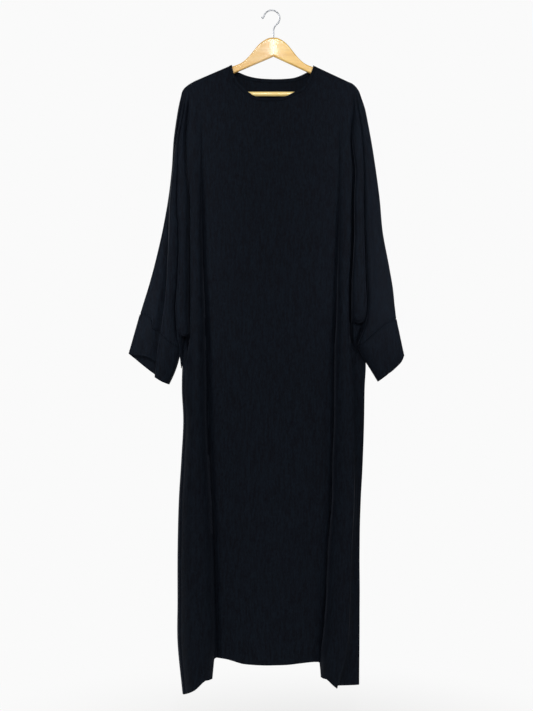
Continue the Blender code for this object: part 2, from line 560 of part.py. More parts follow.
class Cloth:
    """The garment's middle surface as one grid of cells per sheet, joined along the seams."""

    def __init__(self, detail_u, detail_v):
        front, names = front_columns()
        back = back_columns(front, names)
        self.names = names
        total = len(front)
        find = names.index
        marks = {"in_l": find("left_valley"), "side_l": find("left_ridge"), "side_r": find("right_pit"),
                 "in_r": find("right_valley"), "neck_l": find("panel_03"),
                 "neck_r": find("panel_%02d" % (4 + len(NECK_FRONT))), "last": total - 1}
        steps_u = [detail_u(names[i], names[i + 1]) for i in range(total - 1)]
        starts = [sum(steps_u[:i]) for i in range(total)]
        self.mark = {key: starts[value] for key, value in marks.items()}
        rows_upper = 5 + len(HANG_LEVELS)
        rows_body = rows_upper + len(SKIRT_LEVELS) + 1
        rows_cuff = rows_upper + len(CUFF_STEPS)
        steps_v = [detail_v(r) for r in range(rows_body)]
        self.under = sum(steps_v[:rows_upper])
        self.hem = sum(steps_v[:rows_body])
        self.mouth = sum(steps_v[:rows_cuff])
        self.edge = sum(steps_v[:2])
        self.points = {}
        fine = {}
        for sheet, columns, other in (("front", front, back), ("back", back, front)):
            lines = []
            for c, column in enumerate(columns):
                shoulder = not marks["neck_l"] < c < marks["neck_r"]
                before = other[c][1] if shoulder and c not in (0, total - 1) else None
                lines.append(curve_points(column, steps_v[:len(column) - 1], before=before))
            fine[sheet] = lines
        for sheet in ("front", "back"):
            other = fine["back" if sheet == "front" else "front"]
            lines = fine[sheet]
            ranges = [(0, total - 1, range(0, self.under + 1)),
                      (marks["side_l"], marks["side_r"], range(self.under + 1, self.hem + 1)),
                      (0, marks["in_l"], range(self.under + 1, self.mouth + 1)),
                      (marks["in_r"], total - 1, range(self.under + 1, self.mouth + 1))]
            for a, b, rows in ranges:
                for v in rows:
                    line = [lines[c][v] for c in range(a, b + 1)]
                    row = curve_points(line, steps_u[a:b], before=other[a + 1][v], after=other[b - 1][v])
                    for k, point in enumerate(row):
                        self.points.setdefault(self.key(sheet, starts[a] + k, v), point)
        self.cells = []
        for sheet in ("front", "back"):
            for u in range(self.mark["last"]):
                for v in range(max(self.hem, self.mouth)):
                    piece = self.piece(sheet, u, v)
                    if piece is None:
                        continue
                    corners = [self.key(sheet, u, v), self.key(sheet, u, v + 1),
                               self.key(sheet, u + 1, v + 1), self.key(sheet, u + 1, v)]
                    if sheet == "back":
                        corners.reverse()
                    self.cells.append((piece, corners))

    def key(self, sheet, u, v):
        m = self.mark
        shared = u in (0, m["last"])
        shared = shared or (v == 0 and not m["neck_l"] < u < m["neck_r"])
        shared = shared or (v == self.under and (m["in_l"] <= u <= m["side_l"] or m["side_r"] <= u <= m["in_r"]))
        shared = shared or (v > self.under and u in (m["in_l"], m["side_l"], m["side_r"], m["in_r"]))
        return ("seam" if shared else sheet, u, v)

    def piece(self, sheet, u, v):
        m = self.mark
        if v >= self.under:
            if u < m["in_l"]:
                return "cuff_left" if v < self.mouth else None
            if u >= m["in_r"]:
                return "cuff_right" if v < self.mouth else None
            if m["side_l"] <= u < m["side_r"] and v < self.hem:
                return sheet + "_panel"
            return None
        if v < self.edge and m["neck_l"] - 1 <= u < m["neck_r"] + 1:
            return "neck_binding"
        return sheet + "_panel"

    def normals(self):
        total = {key: Vector((0, 0, 0)) for key in self.points}
        for _, corners in self.cells:
            a, b, c, d = (self.points[k] for k in corners)
            face = (c - a).cross(d - b)
            for k in corners:
                total[k] += face
        return {key: value.normalized() for key, value in total.items()}

    def solid(self, name, outer, inner):
        """Vertices and faces of one cut piece as a closed wall, its seam edges pulled back a little."""
        normals = self.normals()
        owners = {}
        for piece, corners in self.cells:
            for i in range(4):
                edge = frozenset((corners[i], corners[(i + 1) % 4]))
                owners.setdefault(edge, set()).add(piece)
        mine = [corners for piece, corners in self.cells if piece == name]
        uses, turns = {}, {}
        for corners in mine:
            for i in range(4):
                a, b = corners[i], corners[(i + 1) % 4]
                uses[frozenset((a, b))] = uses.get(frozenset((a, b)), 0) + 1
                turns[frozenset((a, b))] = (a, b)
        rim = [turns[edge] for edge, used in uses.items() if used == 1]
        seam_keys = {k for edge, used in uses.items() if len(owners[edge]) > 1 for k in edge}
        pull = {k: Vector((0, 0, 0)) for k in seam_keys}
        for corners in mine:
            middle = sum((self.points[k] for k in corners), Vector((0, 0, 0))) / 4
            for k in corners:
                if k in pull:
                    pull[k] += (middle - self.points[k]).normalized()
        keys = sorted({k for corners in mine for k in corners})
        index = {k: i for i, k in enumerate(keys)}
        count = len(keys)
        vertices = []
        for distance in (outer, -inner):
            for k in keys:
                point = self.points[k] + normals[k] * distance
                if k in pull:
                    flat = pull[k] - normals[k] * pull[k].dot(normals[k])
                    point = point + flat.normalized() * SEAM_PULL
                vertices.append(point * MM)
        faces = []
        for corners in mine:
            for face in self.split(corners, normals):
                faces.append([index[k] for k in face])
                faces.append([index[k] + count for k in reversed(face)])
        for a, b in rim:
            i, j = index[a], index[b]
            if a < b:
                faces += [[j, i, i + count], [j, i + count, j + count]]
            else:
                faces += [[j, i, j + count], [i, i + count, j + count]]
        return vertices, faces

    def split(self, corners, normals):
        """Two triangles of a cell, cut along the diagonal that stands further out."""
        a, b, c, d = corners
        one = (self.points[a] + self.points[c]) / 2
        two = (self.points[b] + self.points[d]) / 2
        outward = normals[a] + normals[b] + normals[c] + normals[d]
        if (one - two).dot(outward) >= 0:
            return (a, b, c), (a, c, d)
        return (a, b, d), (b, c, d)


def material(name, colour, roughness, metallic=0.0):
    made = bpy.data.materials.new(name)
    made.use_nodes = True
    shader = made.node_tree.nodes["Principled BSDF"]
    shader.inputs["Base Color"].default_value = (*colour, 1.0)
    shader.inputs["Roughness"].default_value = roughness
    shader.inputs["Metallic"].default_value = metallic
    made.diffuse_color = (*colour, 1.0)
    return made


def mesh_object(name, vertices, faces, made, smooth=True):
    mesh = bpy.data.meshes.new(name)
    mesh.from_pydata([tuple(v) for v in vertices], [], faces)
    mesh.validate()
    mesh.materials.append(made)
    if smooth:
        mesh.shade_smooth()
        mesh.set_sharp_from_angle(angle=math.radians(40))
    piece = bpy.data.objects.new(name, mesh)
    bpy.context.scene.collection.objects.link(piece)
    return piece


def fold_steps(name, following):
    """Steps between two columns of the plain solids: finer where a fold turns."""
    if name.startswith("panel") or following.startswith("panel"):
        return 1
    wide = ("left_crest", "left_valley", "left_ridge", "left_pit", "left_side",
            "right_side", "right_pit", "right_ridge", "right_valley", "right_crest")
    return 2 if name in wide and following in wide + ("left_trough",) else 1


def arm_section(top, bottom, middle, x):
    """Ring of one upright cut through an arm, round at its top edge and eased at the bottom."""
    half = ARM_THICK / 2
    ring = []
    for k in range(9):
        angle = math.pi * k / 8
        ring.append(Vector((x, middle + half * math.cos(angle), top - half + half * math.sin(angle))))
    ring.append(Vector((x, middle - half, min(bottom + 3.0, top - half - 0.5))))
    ring.append(Vector((x, middle - half + 3.0, min(bottom, top - half - 1.0))))
    ring.append(Vector((x, middle + half - 3.0, min(bottom, top - half - 1.0))))
    ring.append(Vector((x, middle + half, min(bottom + 3.0, top - half - 0.5))))
    return ring


def arm(name, direction, length, wood):
    """One curved wooden arm, from the joint in the middle to its round tip."""
    places = [ARM_JOINT_GAP / 2, 5, 10, 15, 20, 25, 30, 35, 40, 45, 50, 55, 60, 65, 70, 76, 83, 95,
              110, 125, 142, 160, 174, 184, 192, 198, 203, 207, 210]
    rings = []
    for place in places:
        reach = place * length / 213.0
        x = HANGER_X + direction * reach
        top, bottom = wood_edge(x, 1), wood_edge(x, 2)
        ring = arm_section(top, bottom, sweep(x), x)
        squeeze = math.sqrt(max(0.0, 1 - (max(0.0, place - 201.0) / 12.0) ** 2))
        middle = Vector((x, sweep(x), (top + bottom) / 2))
        rings.append([Vector((p.x, middle.y + (p.y - middle.y) * squeeze, p.z)) for p in ring])
    count = len(rings[0])
    vertices = [p * MM for ring in rings for p in ring]
    faces = []
    for r in range(len(rings) - 1):
        for k in range(count):
            a, b = r * count + k, r * count + (k + 1) % count
            quad = [a, b, b + count, a + count]
            faces.append(quad if direction < 0 else quad[::-1])
    first = list(range(count))
    last = [len(vertices) - count + k for k in range(count)]
    faces.append(first[::-1] if direction < 0 else first)
    faces.append(last if direction < 0 else last[::-1])
    return mesh_object(name, vertices, faces, wood)


def tube(name, points, diameter, made, resolution=3):
    """Round wire or bar along a path, with closed ends."""
    data = bpy.data.curves.new(name, "CURVE")
    data.dimensions = "3D"
    data.bevel_depth = diameter * MM / 2
    data.bevel_resolution = resolution
    data.use_fill_caps = True
    spline = data.splines.new("POLY")
    spline.points.add(len(points) - 1)
    for point, place in zip(spline.points, points):
        point.co = (*(place * MM), 1.0)
    data.materials.append(made)
    piece = bpy.data.objects.new(name, data)
    bpy.context.scene.collection.objects.link(piece)
    return piece


def hook_path():
    """Middle line of the hook's wire, from its free tip over the rail's place and down the stem."""
    centre = -(HOOK_RADIUS - WIRE_DIAMETER / 2)
    points = [Vector((-25.5, 0, centre + 3.2)), Vector((-22.0, 0, centre + 0.2))]
    for degrees in range(165, -56, -20):
        angle = math.radians(degrees)
        points.append(Vector((HOOK_RADIUS * math.cos(angle), 0, centre + HOOK_RADIUS * math.sin(angle))))
    points += [Vector((6.4, 0, -40.5)), Vector((4.8, 0, -46.0)), Vector((HANGER_X, 0, -52.0)),
               Vector((HANGER_X, 0, -88.0))]
    steps = [2] * (len(points) - 2) + [1]
    return curve_points(points, steps)


def rod_mesh(name, rings, axis):
    """Closed turned rod: rings of centre and radius along X or Z."""
    sides = 16
    vertices, faces = [], []
    for centre, radius in rings:
        for k in range(sides):
            angle = 2 * math.pi * (k + 0.5) / sides
            across, up = radius * math.cos(angle), radius * math.sin(angle)
            offset = Vector((0, across, up)) if axis == "X" else Vector((across, up, 0))
            vertices.append((centre + offset) * MM)
    for r in range(len(rings) - 1):
        for k in range(sides):
            a, b = r * sides + k, r * sides + (k + 1) % sides
            faces.append([a, b, b + sides, a + sides])
    faces.append(list(range(sides))[::-1])
    faces.append(list(range(len(vertices) - sides, len(vertices))))
    mesh = bpy.data.meshes.new(name)
    mesh.from_pydata([tuple(v) for v in vertices], [], faces)
    return mesh


def drill(name, start, end, diameter, axis, pieces):
    """A cutter that drills a round hole into the given pieces."""
    mesh = rod_mesh(name, ((start, diameter / 2), (end, diameter / 2)), axis)
    cutter = bpy.data.objects.new(name, mesh)
    bpy.context.scene.collection.objects.link(cutter)
    cutter.hide_render = True
    cutter.display_type = "WIRE"
    for piece in pieces:
        cut = piece.modifiers.new(name, "BOOLEAN")
        cut.operation = "DIFFERENCE"
        cut.solver = "EXACT"
        cut.object = cutter


def bar(left, right, wood):
    """Round cross bar with a thinner spigot at each end, set in the arms' tips."""
    depth = sweep(-188.0)
    ends = {}
    for piece, direction in ((left, -1), (right, 1)):
        length = ARM_LEFT if direction < 0 else ARM_RIGHT
        shoulder = HANGER_X + direction * 184.0 * length / 213.0
        tip = HANGER_X + direction * 199.0 * length / 213.0
        bottom = HANGER_X + direction * 199.8 * length / 213.0
        start = HANGER_X + direction * 170.0 * length / 213.0
        ends[direction] = (tip, shoulder)
        low, high = sorted((start, bottom))
        drill("bar_hole_left" if direction < 0 else "bar_hole_right", Vector((low, depth, BAR_Z)),
              Vector((high, depth, BAR_Z)), BAR_SPIGOT + 0.6, "X", (piece,))
    thin, full = BAR_SPIGOT / 2, BAR_DIAMETER / 2
    stations = [(ends[-1][0], thin), (ends[-1][1], thin), (ends[-1][1] + 0.6, full),
                (ends[1][1] - 0.6, full), (ends[1][1], thin), (ends[1][0], thin)]
    mesh = rod_mesh("hanger_bar", [(Vector((x, depth, BAR_Z)), radius) for x, radius in stations], "X")
    mesh.materials.append(wood)
    mesh.shade_smooth()
    mesh.set_sharp_from_angle(angle=math.radians(40))
    piece = bpy.data.objects.new("hanger_bar", mesh)
    bpy.context.scene.collection.objects.link(piece)


def main():
    for old in list(bpy.data.objects):
        bpy.data.objects.remove(old, do_unlink=True)
    crepe = material("black crepe", (0.008, 0.009, 0.012), 0.85)
    wood = material("varnished wood", (0.84, 0.62, 0.32), 0.35)
    chrome = material("chrome", (0.75, 0.75, 0.76), 0.15, 1.0)
    cloth = Cloth(fold_steps, lambda row: 1)
    half = CLOTH_WALL / 2
    for name in ("front_panel", "back_panel", "cuff_left", "cuff_right"):
        vertices, faces = cloth.solid(name, half, half)
        mesh_object(name, vertices, faces, crepe)
    vertices, faces = cloth.solid("neck_binding", half + BINDING_EXTRA, half)
    mesh_object("neck_binding", vertices, faces, crepe)
    arms = [arm("hanger_arm_left", -1, ARM_LEFT, wood), arm("hanger_arm_right", 1, ARM_RIGHT, wood)]
    drill("stem_hole", Vector((HANGER_X, 0, -91.0)), Vector((HANGER_X, 0, -60.0)), STEM_HOLE, "Z", arms)
    bar(*arms, wood)
    tube("hanger_hook", hook_path(), WIRE_DIAMETER, chrome, 2)


if __name__ == "__main__":
    main()
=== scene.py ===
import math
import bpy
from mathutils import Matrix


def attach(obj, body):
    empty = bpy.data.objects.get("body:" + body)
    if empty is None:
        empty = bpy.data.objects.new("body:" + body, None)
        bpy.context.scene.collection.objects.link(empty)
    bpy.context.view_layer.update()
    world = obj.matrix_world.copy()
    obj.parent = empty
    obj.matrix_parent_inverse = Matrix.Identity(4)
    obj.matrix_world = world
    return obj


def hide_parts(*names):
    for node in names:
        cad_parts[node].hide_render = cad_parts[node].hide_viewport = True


bl_info = {
    "name": "Closed abaya on a wooden hanger",
    "version": (1, 0, 0),
    "blender": (4, 5, 0),
    "location": "3D View > Sidebar > Abaya",
    "description": "Black crepe batwing abaya with deep cuffs, hung on a contoured wooden hanger",
    "category": "Add Mesh",
}

import bpy
from bpy.props import FloatProperty, FloatVectorProperty, IntProperty, PointerProperty
from mathutils import Vector, noise

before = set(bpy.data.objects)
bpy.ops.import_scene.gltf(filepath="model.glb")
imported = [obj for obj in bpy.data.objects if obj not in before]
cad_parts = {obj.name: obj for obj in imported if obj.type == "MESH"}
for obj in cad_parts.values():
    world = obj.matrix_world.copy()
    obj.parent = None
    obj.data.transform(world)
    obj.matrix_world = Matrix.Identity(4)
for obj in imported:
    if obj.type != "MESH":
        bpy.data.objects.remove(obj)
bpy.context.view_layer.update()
MM = 0.001

# The sizes that follow are in millimetres, and places are told from the inside top of the hook

# Seams: how far the cloth's edges are pulled apart, how far the stitching draws them in at the neck and at
# the cuffs, and how near to a cuff's seam the rows beside it lie
SEAM_PULL = 0.02
SEAM_SINK = 1.2
CUFF_SINK = 1.8
SEAM_ROW_SHARE = 0.4

# Cloth on the hanger: how far it is raised, where on the arms that begins, over what width, and how far down
SHOULDER_LIFT = 1.6
LIFT_FROM = 60.0
LIFT_WIDE = 45.0
LIFT_DOWN = 70.0

# Air between the front's deep folds and the back sheet, and how often the back's move is evened out
SHEET_ROOM = 3.2
ROOM_PASSES = 8

# Slow unevenness of the cloth: width and height of its larger and smaller bumps
BROAD_RIPPLE = (55.0, 190.0)
SMALL_RIPPLE = (17.0, 70.0)
RIPPLE_SEEDS = {"front": 3.0, "back": 9.0, "small": 5.0}

# How far from a seam, the shoulders, the neck's edge and the underarm the folds reach their full depth
SEAM_CALM = 22.0
SHOULDER_CALM = 26.0
NECK_CALM_ROWS = 10.0
UNDERARM_CALM_ROWS = 2.5
UNDERARM_BESIDE = 3

# Hanger
HANGER_X = 4.5
ARM_LEFT = 213.0
ARM_RIGHT = 206.0
ARMS = {"left": (-1, ARM_LEFT), "right": (1, ARM_RIGHT)}
ARM_THICK = 12.0
ARM_SWEEP = 18.0
ARM_SWEEP_AT = 215.0
ARM_SWEEP_POWER = 1.6
ARM_JOINT_GAP = 0.3
ARM_TILT = 0.009
ARM_TIP_FROM = 201.0
ARM_TIP_LONG = 12.0
ARM_LOWER_RADIUS = 3.4
ARM_TOP_STEPS = 16
ARM_LOWER_STEPS = 5
CLOTH_OFF_WOOD = 1.4
CLOTH_OFF_FACE = 2.0
BAR_DIAMETER = 12.0
BAR_SPIGOT = 7.0
BAR_Z = -209.0
BAR_DEPTH_AT = -188.0
BAR_EDGE = 0.7
BAR_SPIGOT_EDGE = 0.6
BAR_STEPS = 12
BAR_ROUGHNESS = 0.55

# Distances along an arm: tip and shoulder of the bar, and the ends of its socket
BAR_PLACES = (199.0, 184.0)
SOCKET_PLACES = (199.8, 170.0)
SOCKET_WIDE = 7.6

WIRE_DIAMETER = 3.5
HOOK_RADIUS = 19.75
STEM_HOLE = 4.1
STEM_END = -88.0
STEM_HOLE_ENDS = (-91.0, -60.0)

# Wood outline: distance from the middle, top edge, bottom edge
ARM_OUTLINE = (
    (0.0, -65.5, -112.4),
    (10.0, -66.6, -116.9),
    (20.0, -71.0, -121.4),
    (30.0, -77.8, -125.9),
    (40.0, -87.6, -130.4),
    (50.0, -100.0, -134.9),
    (60.0, -112.3, -139.4),
    (70.0, -122.4, -144.0),
    (80.0, -130.2, -148.5),
    (95.0, -137.0, -155.3),
    (103.0, -139.8, -159.0),
    (114.5, -145.0, -164.2),
    (134.5, -154.4, -173.3),
    (164.5, -168.4, -187.5),
    (182.0, -176.7, -198.5),
    (194.5, -182.9, -213.0),
    (202.0, -188.0, -216.0),
    (208.0, -194.5, -214.0),
    (213.0, -204.0, -207.5),
)

# Ends of the cloth's shoulder line, past the wood: x, z
SHOULDER_TIP_LEFT = (
    (-219.5, -206.0), (-214.5, -198.0), (-209.0, -192.6), (-202.0, -187.0), (-190.0, -179.8),
)
SHOULDER_TIP_RIGHT = (
    (195.0, -183.4), (202.0, -188.8), (208.0, -195.4), (212.5, -202.5), (215.5, -209.0),
)

# Front neckline: x, z, y
NECK_FRONT = (
    (-97.8, -138.6, -11.4), (-96.6, -145.6, -14.0), (-93.5, -158.0, -15.6),
    (-82.0, -181.0, -18.8), (-66.0, -197.5, -21.8), (-38.0, -217.5, -23.4),
    (0.0, -219.9, -23.6), (28.0, -218.5, -23.4), (56.0, -205.0, -22.6),
    (77.0, -194.0, -21.6), (89.5, -174.0, -18.4), (96.5, -158.0, -15.6),
    (100.6, -146.6, -14.0), (102.3, -139.6, -11.4),
)

# Back neckline: x, z, y
NECK_BACK = (
    (-97.8, -138.6, 0.9), (-96.4, -144.6, 3.5), (-92.5, -148.8, 3.9),
    (-79.5, -152.0, 4.4), (-60.0, -159.0, 5.6), (-36.0, -164.2, 6.4),
    (0.0, -166.6, 7.0), (28.0, -166.2, 7.0), (54.0, -163.8, 6.4),
    (73.0, -158.0, 5.4), (87.0, -152.0, 4.2), (96.5, -148.8, 3.9),
    (100.8, -145.6, 3.5), (102.3, -139.6, 0.9),
)

# Cloth round the neck: how far its points lie from the edge, how it leans, and its points at the neck point
NECK_REACHES = (3.0, 8.0, 12.0)
NECK_LEAN = 0.04
NECK_POINT_REACH = (3.6, 7.6)

# Folds of the front, from the left sleeve's outer seam to the body: name, x on the shoulder line,
# (z, x, y) down the fold
LEFT_FOLDS = (
    ("seam", -219.5, ((-245, -229, -18), (-319, -240, -17), (-393, -245, -16), (-467, -254, -15),
                      (-566, -273, -13), (-664, -298, -11), (-748, -324, -9), (-797, -338, -8),
                      (-846, -352, -8))),
    ("outer", -217.8, ((-245, -227, -23), (-319, -238, -22), (-393, -243, -21), (-467, -250, -20),
                       (-566, -264, -18), (-664, -284, -17), (-757, -298, -16), (-803, -320, -15),
                       (-850, -336, -14))),
    ("drape", -215.6, ((-245, -225, -25), (-319, -236, -22), (-393, -241, -19), (-467, -247, -17),
                       (-566, -256, -17), (-664, -270, -17), (-786, -291, -17), (-820, -301, -16),
                       (-853, -308, -15))),
    ("tuck", -213.6, ((-245, -222, -23), (-319, -233, -19), (-393, -238, -15), (-467, -244, -14),
                      (-566, -246, -13), (-664, -253, -12), (-790, -272, -11), (-830, -277, -11),
                      (-872, -281, -12))),
    ("edge", -211.4, ((-245, -219, -26), (-319, -233, -26), (-393, -241, -27), (-467, -249, -29),
                      (-566, -252, -31), (-664, -256.5, -32), (-738, -263, -32), (-795, -271, -31),
                      (-850, -280, -30), (-904, -286, -29))),
    ("crest", -209.0, ((-245, -216, -28), (-319, -229, -29), (-393, -235, -32), (-467, -240, -36),
                       (-566, -242, -39), (-664, -250, -42), (-812, -256, -39), (-862, -264, -36),
                       (-914, -270, -34))),
    ("valley", -206.2, ((-245, -213, -25), (-319, -226, -24), (-393, -229, -25), (-467, -231, -25),
                        (-566, -227, -25), (-664, -229.5, -25), (-738, -235, -24), (-785, -232, -19),
                        (-832, -224, -12), (-872, -231, -12), (-922, -252, -14))),
    ("ridge", -202.5, ((-245, -209.5, -28), (-319, -219, -32), (-393, -219, -36), (-467, -219, -39),
                       (-566, -219, -42), (-664, -224, -45), (-738, -227, -47), (-786, -218, -44),
                       (-800, -216, -24), (-832, -217, -11), (-911, -221, -10), (-1010, -217, -9),
                       (-1109, -222, -8), (-1208, -228, -8), (-1331, -231, -8), (-1455, -231, -8),
                       (-1554, -231, -8), (-1682, -219, -8))),
    ("pit", -198.0, ((-245, -204, -21), (-319, -210, -15), (-393, -207, -10), (-467, -200.5, -7),
                     (-566, -200, -5), (-664, -199, -4), (-738, -199, -4), (-800, -200, -5),
                     (-840, -207, -14), (-911, -214, -24), (-1010, -210, -23), (-1109, -214, -24),
                     (-1208, -219, -26), (-1331, -221, -28), (-1455, -221, -29), (-1554, -221, -30),
                     (-1678, -210, -30))),
    ("side", -188.0, ((-245, -193, -27), (-319, -188, -29), (-393, -184, -31), (-467, -184, -34),
                      (-566, -184, -36), (-664, -184, -38), (-738, -184, -40), (-828, -185, -42),
                      (-1010, -187, -44), (-1109, -190, -46), (-1331, -194, -50), (-1554, -193, -54),
                      (-1662, -186, -54))),
    ("trough", -170.0, ((-245, -172, -24.5), (-393, -171, -24), (-467, -171, -23.5), (-566, -170, -22),
                        (-664, -168, -20), (-738, -165, -17), (-911, -161, -15), (-1010, -161, -13),
                        (-1109, -155, -11), (-1208, -150, -10), (-1331, -145, -9), (-1455, -142, -8),
                        (-1554, -139, -7), (-1600, -142, -7))),
)

RIGHT_FOLDS = (
    ("trough", 166.0, ((-245, 166, -24.5), (-467, 165, -24), (-566, 164, -22), (-664, 161, -20),
                       (-738, 160, -18), (-846, 155, -15), (-1010, 154, -13), (-1109, 150, -11),
                       (-1208, 149, -10), (-1331, 139, -9), (-1455, 134, -8), (-1554, 125, -7),
                       (-1608, 118, -7))),
    ("side", 186.0, ((-245, 188, -27), (-319, 184, -29), (-467, 182, -34), (-566, 181, -37),
                     (-664, 176, -40), (-846, 175, -42), (-1010, 180, -44), (-1109, 183, -46),
                     (-1208, 184, -48), (-1331, 176, -50), (-1455, 172, -52), (-1554, 165, -54),
                     (-1650, 148, -54))),
    ("pit", 196.0, ((-245, 201, -21), (-319, 197, -15), (-393, 206, -10), (-467, 203, -7),
                    (-566, 203, -5), (-664, 198, -4), (-738, 197, -4), (-800, 197, -5),
                    (-832, 198, -8), (-911, 205, -10), (-1010, 207, -11), (-1208, 207, -12),
                    (-1331, 200, -13), (-1455, 196, -14), (-1554, 191, -14), (-1628, 174, -14),
                    (-1662, 162, -14))),
    ("ridge", 199.5, ((-245, 206, -27), (-319, 212, -32), (-393, 214, -36), (-467, 213, -39),
                      (-566, 214, -42), (-664, 215, -45), (-738, 216, -46), (-758, 215, -43),
                      (-772, 210, -22), (-830, 205, -9))),
    ("valley", 202.6, ((-245, 211, -24), (-319, 223, -25), (-393, 227, -25), (-467, 228, -25),
                       (-566, 230, -25), (-664, 233, -26), (-738, 235, -27), (-784, 227, -22),
                       (-828, 212, -11), (-870, 234, -12), (-915, 261, -14))),
    ("crest", 205.4, ((-245, 215, -28), (-319, 228, -30), (-393, 232, -33), (-467, 235, -35),
                      (-566, 239, -37), (-664, 244, -39), (-738, 247, -40), (-817, 228, -34),
                      (-860, 246, -32), (-905, 268, -30))),
    ("slope", 208.0, ((-245, 219, -26), (-319, 233, -27), (-393, 240, -28), (-467, 245, -29),
                      (-566, 250, -30), (-664, 259, -31), (-738, 263, -32), (-798, 249, -34),
                      (-845, 268, -33), (-893, 289, -31))),
    ("drape", 210.6, ((-245, 222.5, -25), (-319, 238, -25), (-393, 248, -24), (-467, 257, -24),
                      (-566, 266, -24), (-664, 283, -23), (-771, 284, -24), (-828, 303, -23),
                      (-882, 303, -22))),
    ("outer", 213.2, ((-245, 225.5, -23), (-319, 241.5, -22), (-393, 253, -20), (-467, 263, -18),
                      (-566, 272, -17), (-664, 292, -16), (-762, 301, -15), (-808, 314, -15),
                      (-866, 319, -14))),
    ("seam", 215.5, ((-245, 228.5, -18), (-319, 243, -17), (-393, 255, -16), (-467, 265, -14),
                     (-566, 275, -12), (-664, 295, -11), (-761, 307, -10), (-806, 316, -9),
                     (-850, 326, -8))),
)

# Columns on the shoulders, from the sleeve to the neck point
SHOULDER_LEFT = (-145.0, -122.0, -107.5, -98.5)
SHOULDER_RIGHT = (147.0, 126.0, 112.0, 103.0)

# Cuffs: heights of the seam and of the mouth on each fold of the sleeve
CUFF_LEFT_ENDS = {
    "seam": (-748, -846), "outer": (-757, -850), "drape": (-786, -853), "tuck": (-790, -872),
    "edge": (-795, -904), "crest": (-812, -914), "valley": (-832, -922),
}
CUFF_RIGHT_ENDS = {
    "valley": (-828, -915), "crest": (-817, -905), "slope": (-798, -893),
    "drape": (-771, -882), "outer": (-762, -866), "seam": (-761, -850),
}

# Levels shared by all the columns: a column that ends higher is drawn together below the chest
HANG_LEVELS = (-245.0, -319.0, -393.0, -467.0, -566.0, -664.0, -738.0, -785.0, -802.0)
CHEST_LEVEL = -467.0
UNDERARM_LEVEL = -830.0
SKIRT_LEVELS = (-870.0, -935.0, -1010.0, -1109.0, -1208.0, -1331.0, -1455.0, -1554.0)
CUFF_STEPS = (0.34, 0.68, 1.0)

# Four points at the top of each column stand above the first level, and one halfway to it
TOP_POINTS = 5

# Middle front: z, y
FRONT_DEPTH = (
    (-216.0, -23.6), (-245.0, -24.4), (-319.0, -24.6), (-467.0, -24.0), (-664.0, -21.5),
    (-828.0, -19.5), (-1109.0, -16.5), (-1400.0, -14.0), (-1610.0, -13.0),
)

# Front hem: x, z
HEM_FRONT = (
    (-219.0, -1682.0), (-197.0, -1685.5), (-170.0, -1672.0), (-145.0, -1655.0), (-142.0, -1600.0),
    (-130.0, -1597.0), (-115.0, -1598.0), (-98.0, -1602.0), (-66.0, -1610.0), (-16.0, -1613.0),
    (33.0, -1612.0), (70.0, -1608.0), (100.0, -1605.0), (116.0, -1606.0), (119.0, -1613.0),
    (123.0, -1640.0), (134.0, -1660.0), (152.0, -1664.0), (166.0, -1659.0), (186.0, -1659.0),
    (211.0, -1670.0),
)

# The level part of the front hem, between the skirt's two deep folds
HEM_LEFT_X = -142.0
HEM_RIGHT_X = 118.0
HEM_NEAR = -1580.0

# The front panel's columns spread below the neck, and its sides lead into the folds beside it
SPREAD_FROM = -150.0
SPREAD_LONG = 260.0
LEFT_FOLD_SHARE = 0.3
RIGHT_FOLD_SHARE = 0.09

# Back hem: share of the width from the left, z
HEM_BACK = (
    (0.0, -1680.0), (0.06, -1670.0), (0.12, -1645.0), (0.18, -1604.0), (0.24, -1592.0), (0.4, -1590.0),
    (0.6, -1590.0), (0.72, -1594.0), (0.8, -1604.0), (0.87, -1640.0), (0.94, -1661.0), (1.0, -1664.0),
)

# Back of the skirt at its right, beyond the side seam: z, x of the silhouette
BACK_RIGHT = (
    (-832.0, 224.0), (-850.0, 231.0), (-870.0, 233.0), (-885.0, 231.0), (-911.0, 230.0), (-955.0, 230.0),
    (-1109.0, 226.0), (-1208.0, 221.0), (-1331.0, 218.0), (-1554.0, 218.0), (-1628.0, 216.0),
    (-1670.0, 211.0),
)

# Depth of the back at its sides and its middle: at the shoulders, and low down where it falls free
BACK_DEPTH_TOP = (-7.0, 3.0)
BACK_DEPTH_LOW = (-5.0, 13.0)
BACK_FREE_FROM = -250.0
BACK_FREE_LONG = 900.0

# Waves of the back: share of the height, width, start, and lean as it goes down; and their height at the
# shoulders, with what is added to it low down
BACK_WAVES = ((1.0, 15.5, 0.9, 0.0006), (0.45, 9.3, 2.1, -0.0009))
BACK_WAVE_TOP = 0.8
BACK_WAVE_MORE = 3.6

# The back at the underarm, and the share of the way at which it turns in to the right side seam
BACK_UNDERARM_X = (-217.0, 227.0)
BACK_UNDERARM_TURN = 0.94
BACK_TURN = 0.955
BACK_TURN_IN = 6.0
BACK_SEAM_Y = -4.0

# Backs of the sleeves and cuffs: how far they bow out, and the depth at the cuff's seam and on the cuff
SLEEVE_BOW = 15.0
SLEEVE_BACK_Y = 3.0
CUFF_BACK_Y = 1.0

# From the middle of the wood to the sheets beside it, the depth of the front just below it, and the level
# and the height over which the back leaves it
WOOD_CLEAR = 8.0
FRONT_CLEAR = -22.9
LEAVE_FROM = -245.0
LEAVE_LONG = 200.0

# Below the neck's sides a column's halfway point stays at this level, where its top is higher than the other
HALFWAY_LEVEL = -200.0
HIGH_TOP = -186.0
HALFWAY_SHARE = 0.45

# The back's sides round off to the seams over this width; the rows where its folds and the sleeves begin
SIDE_ROUND = 24.0
FOLD_ROWS = (4.0, 8.0)
TUBE_ROWS = (8.0, 6.0)


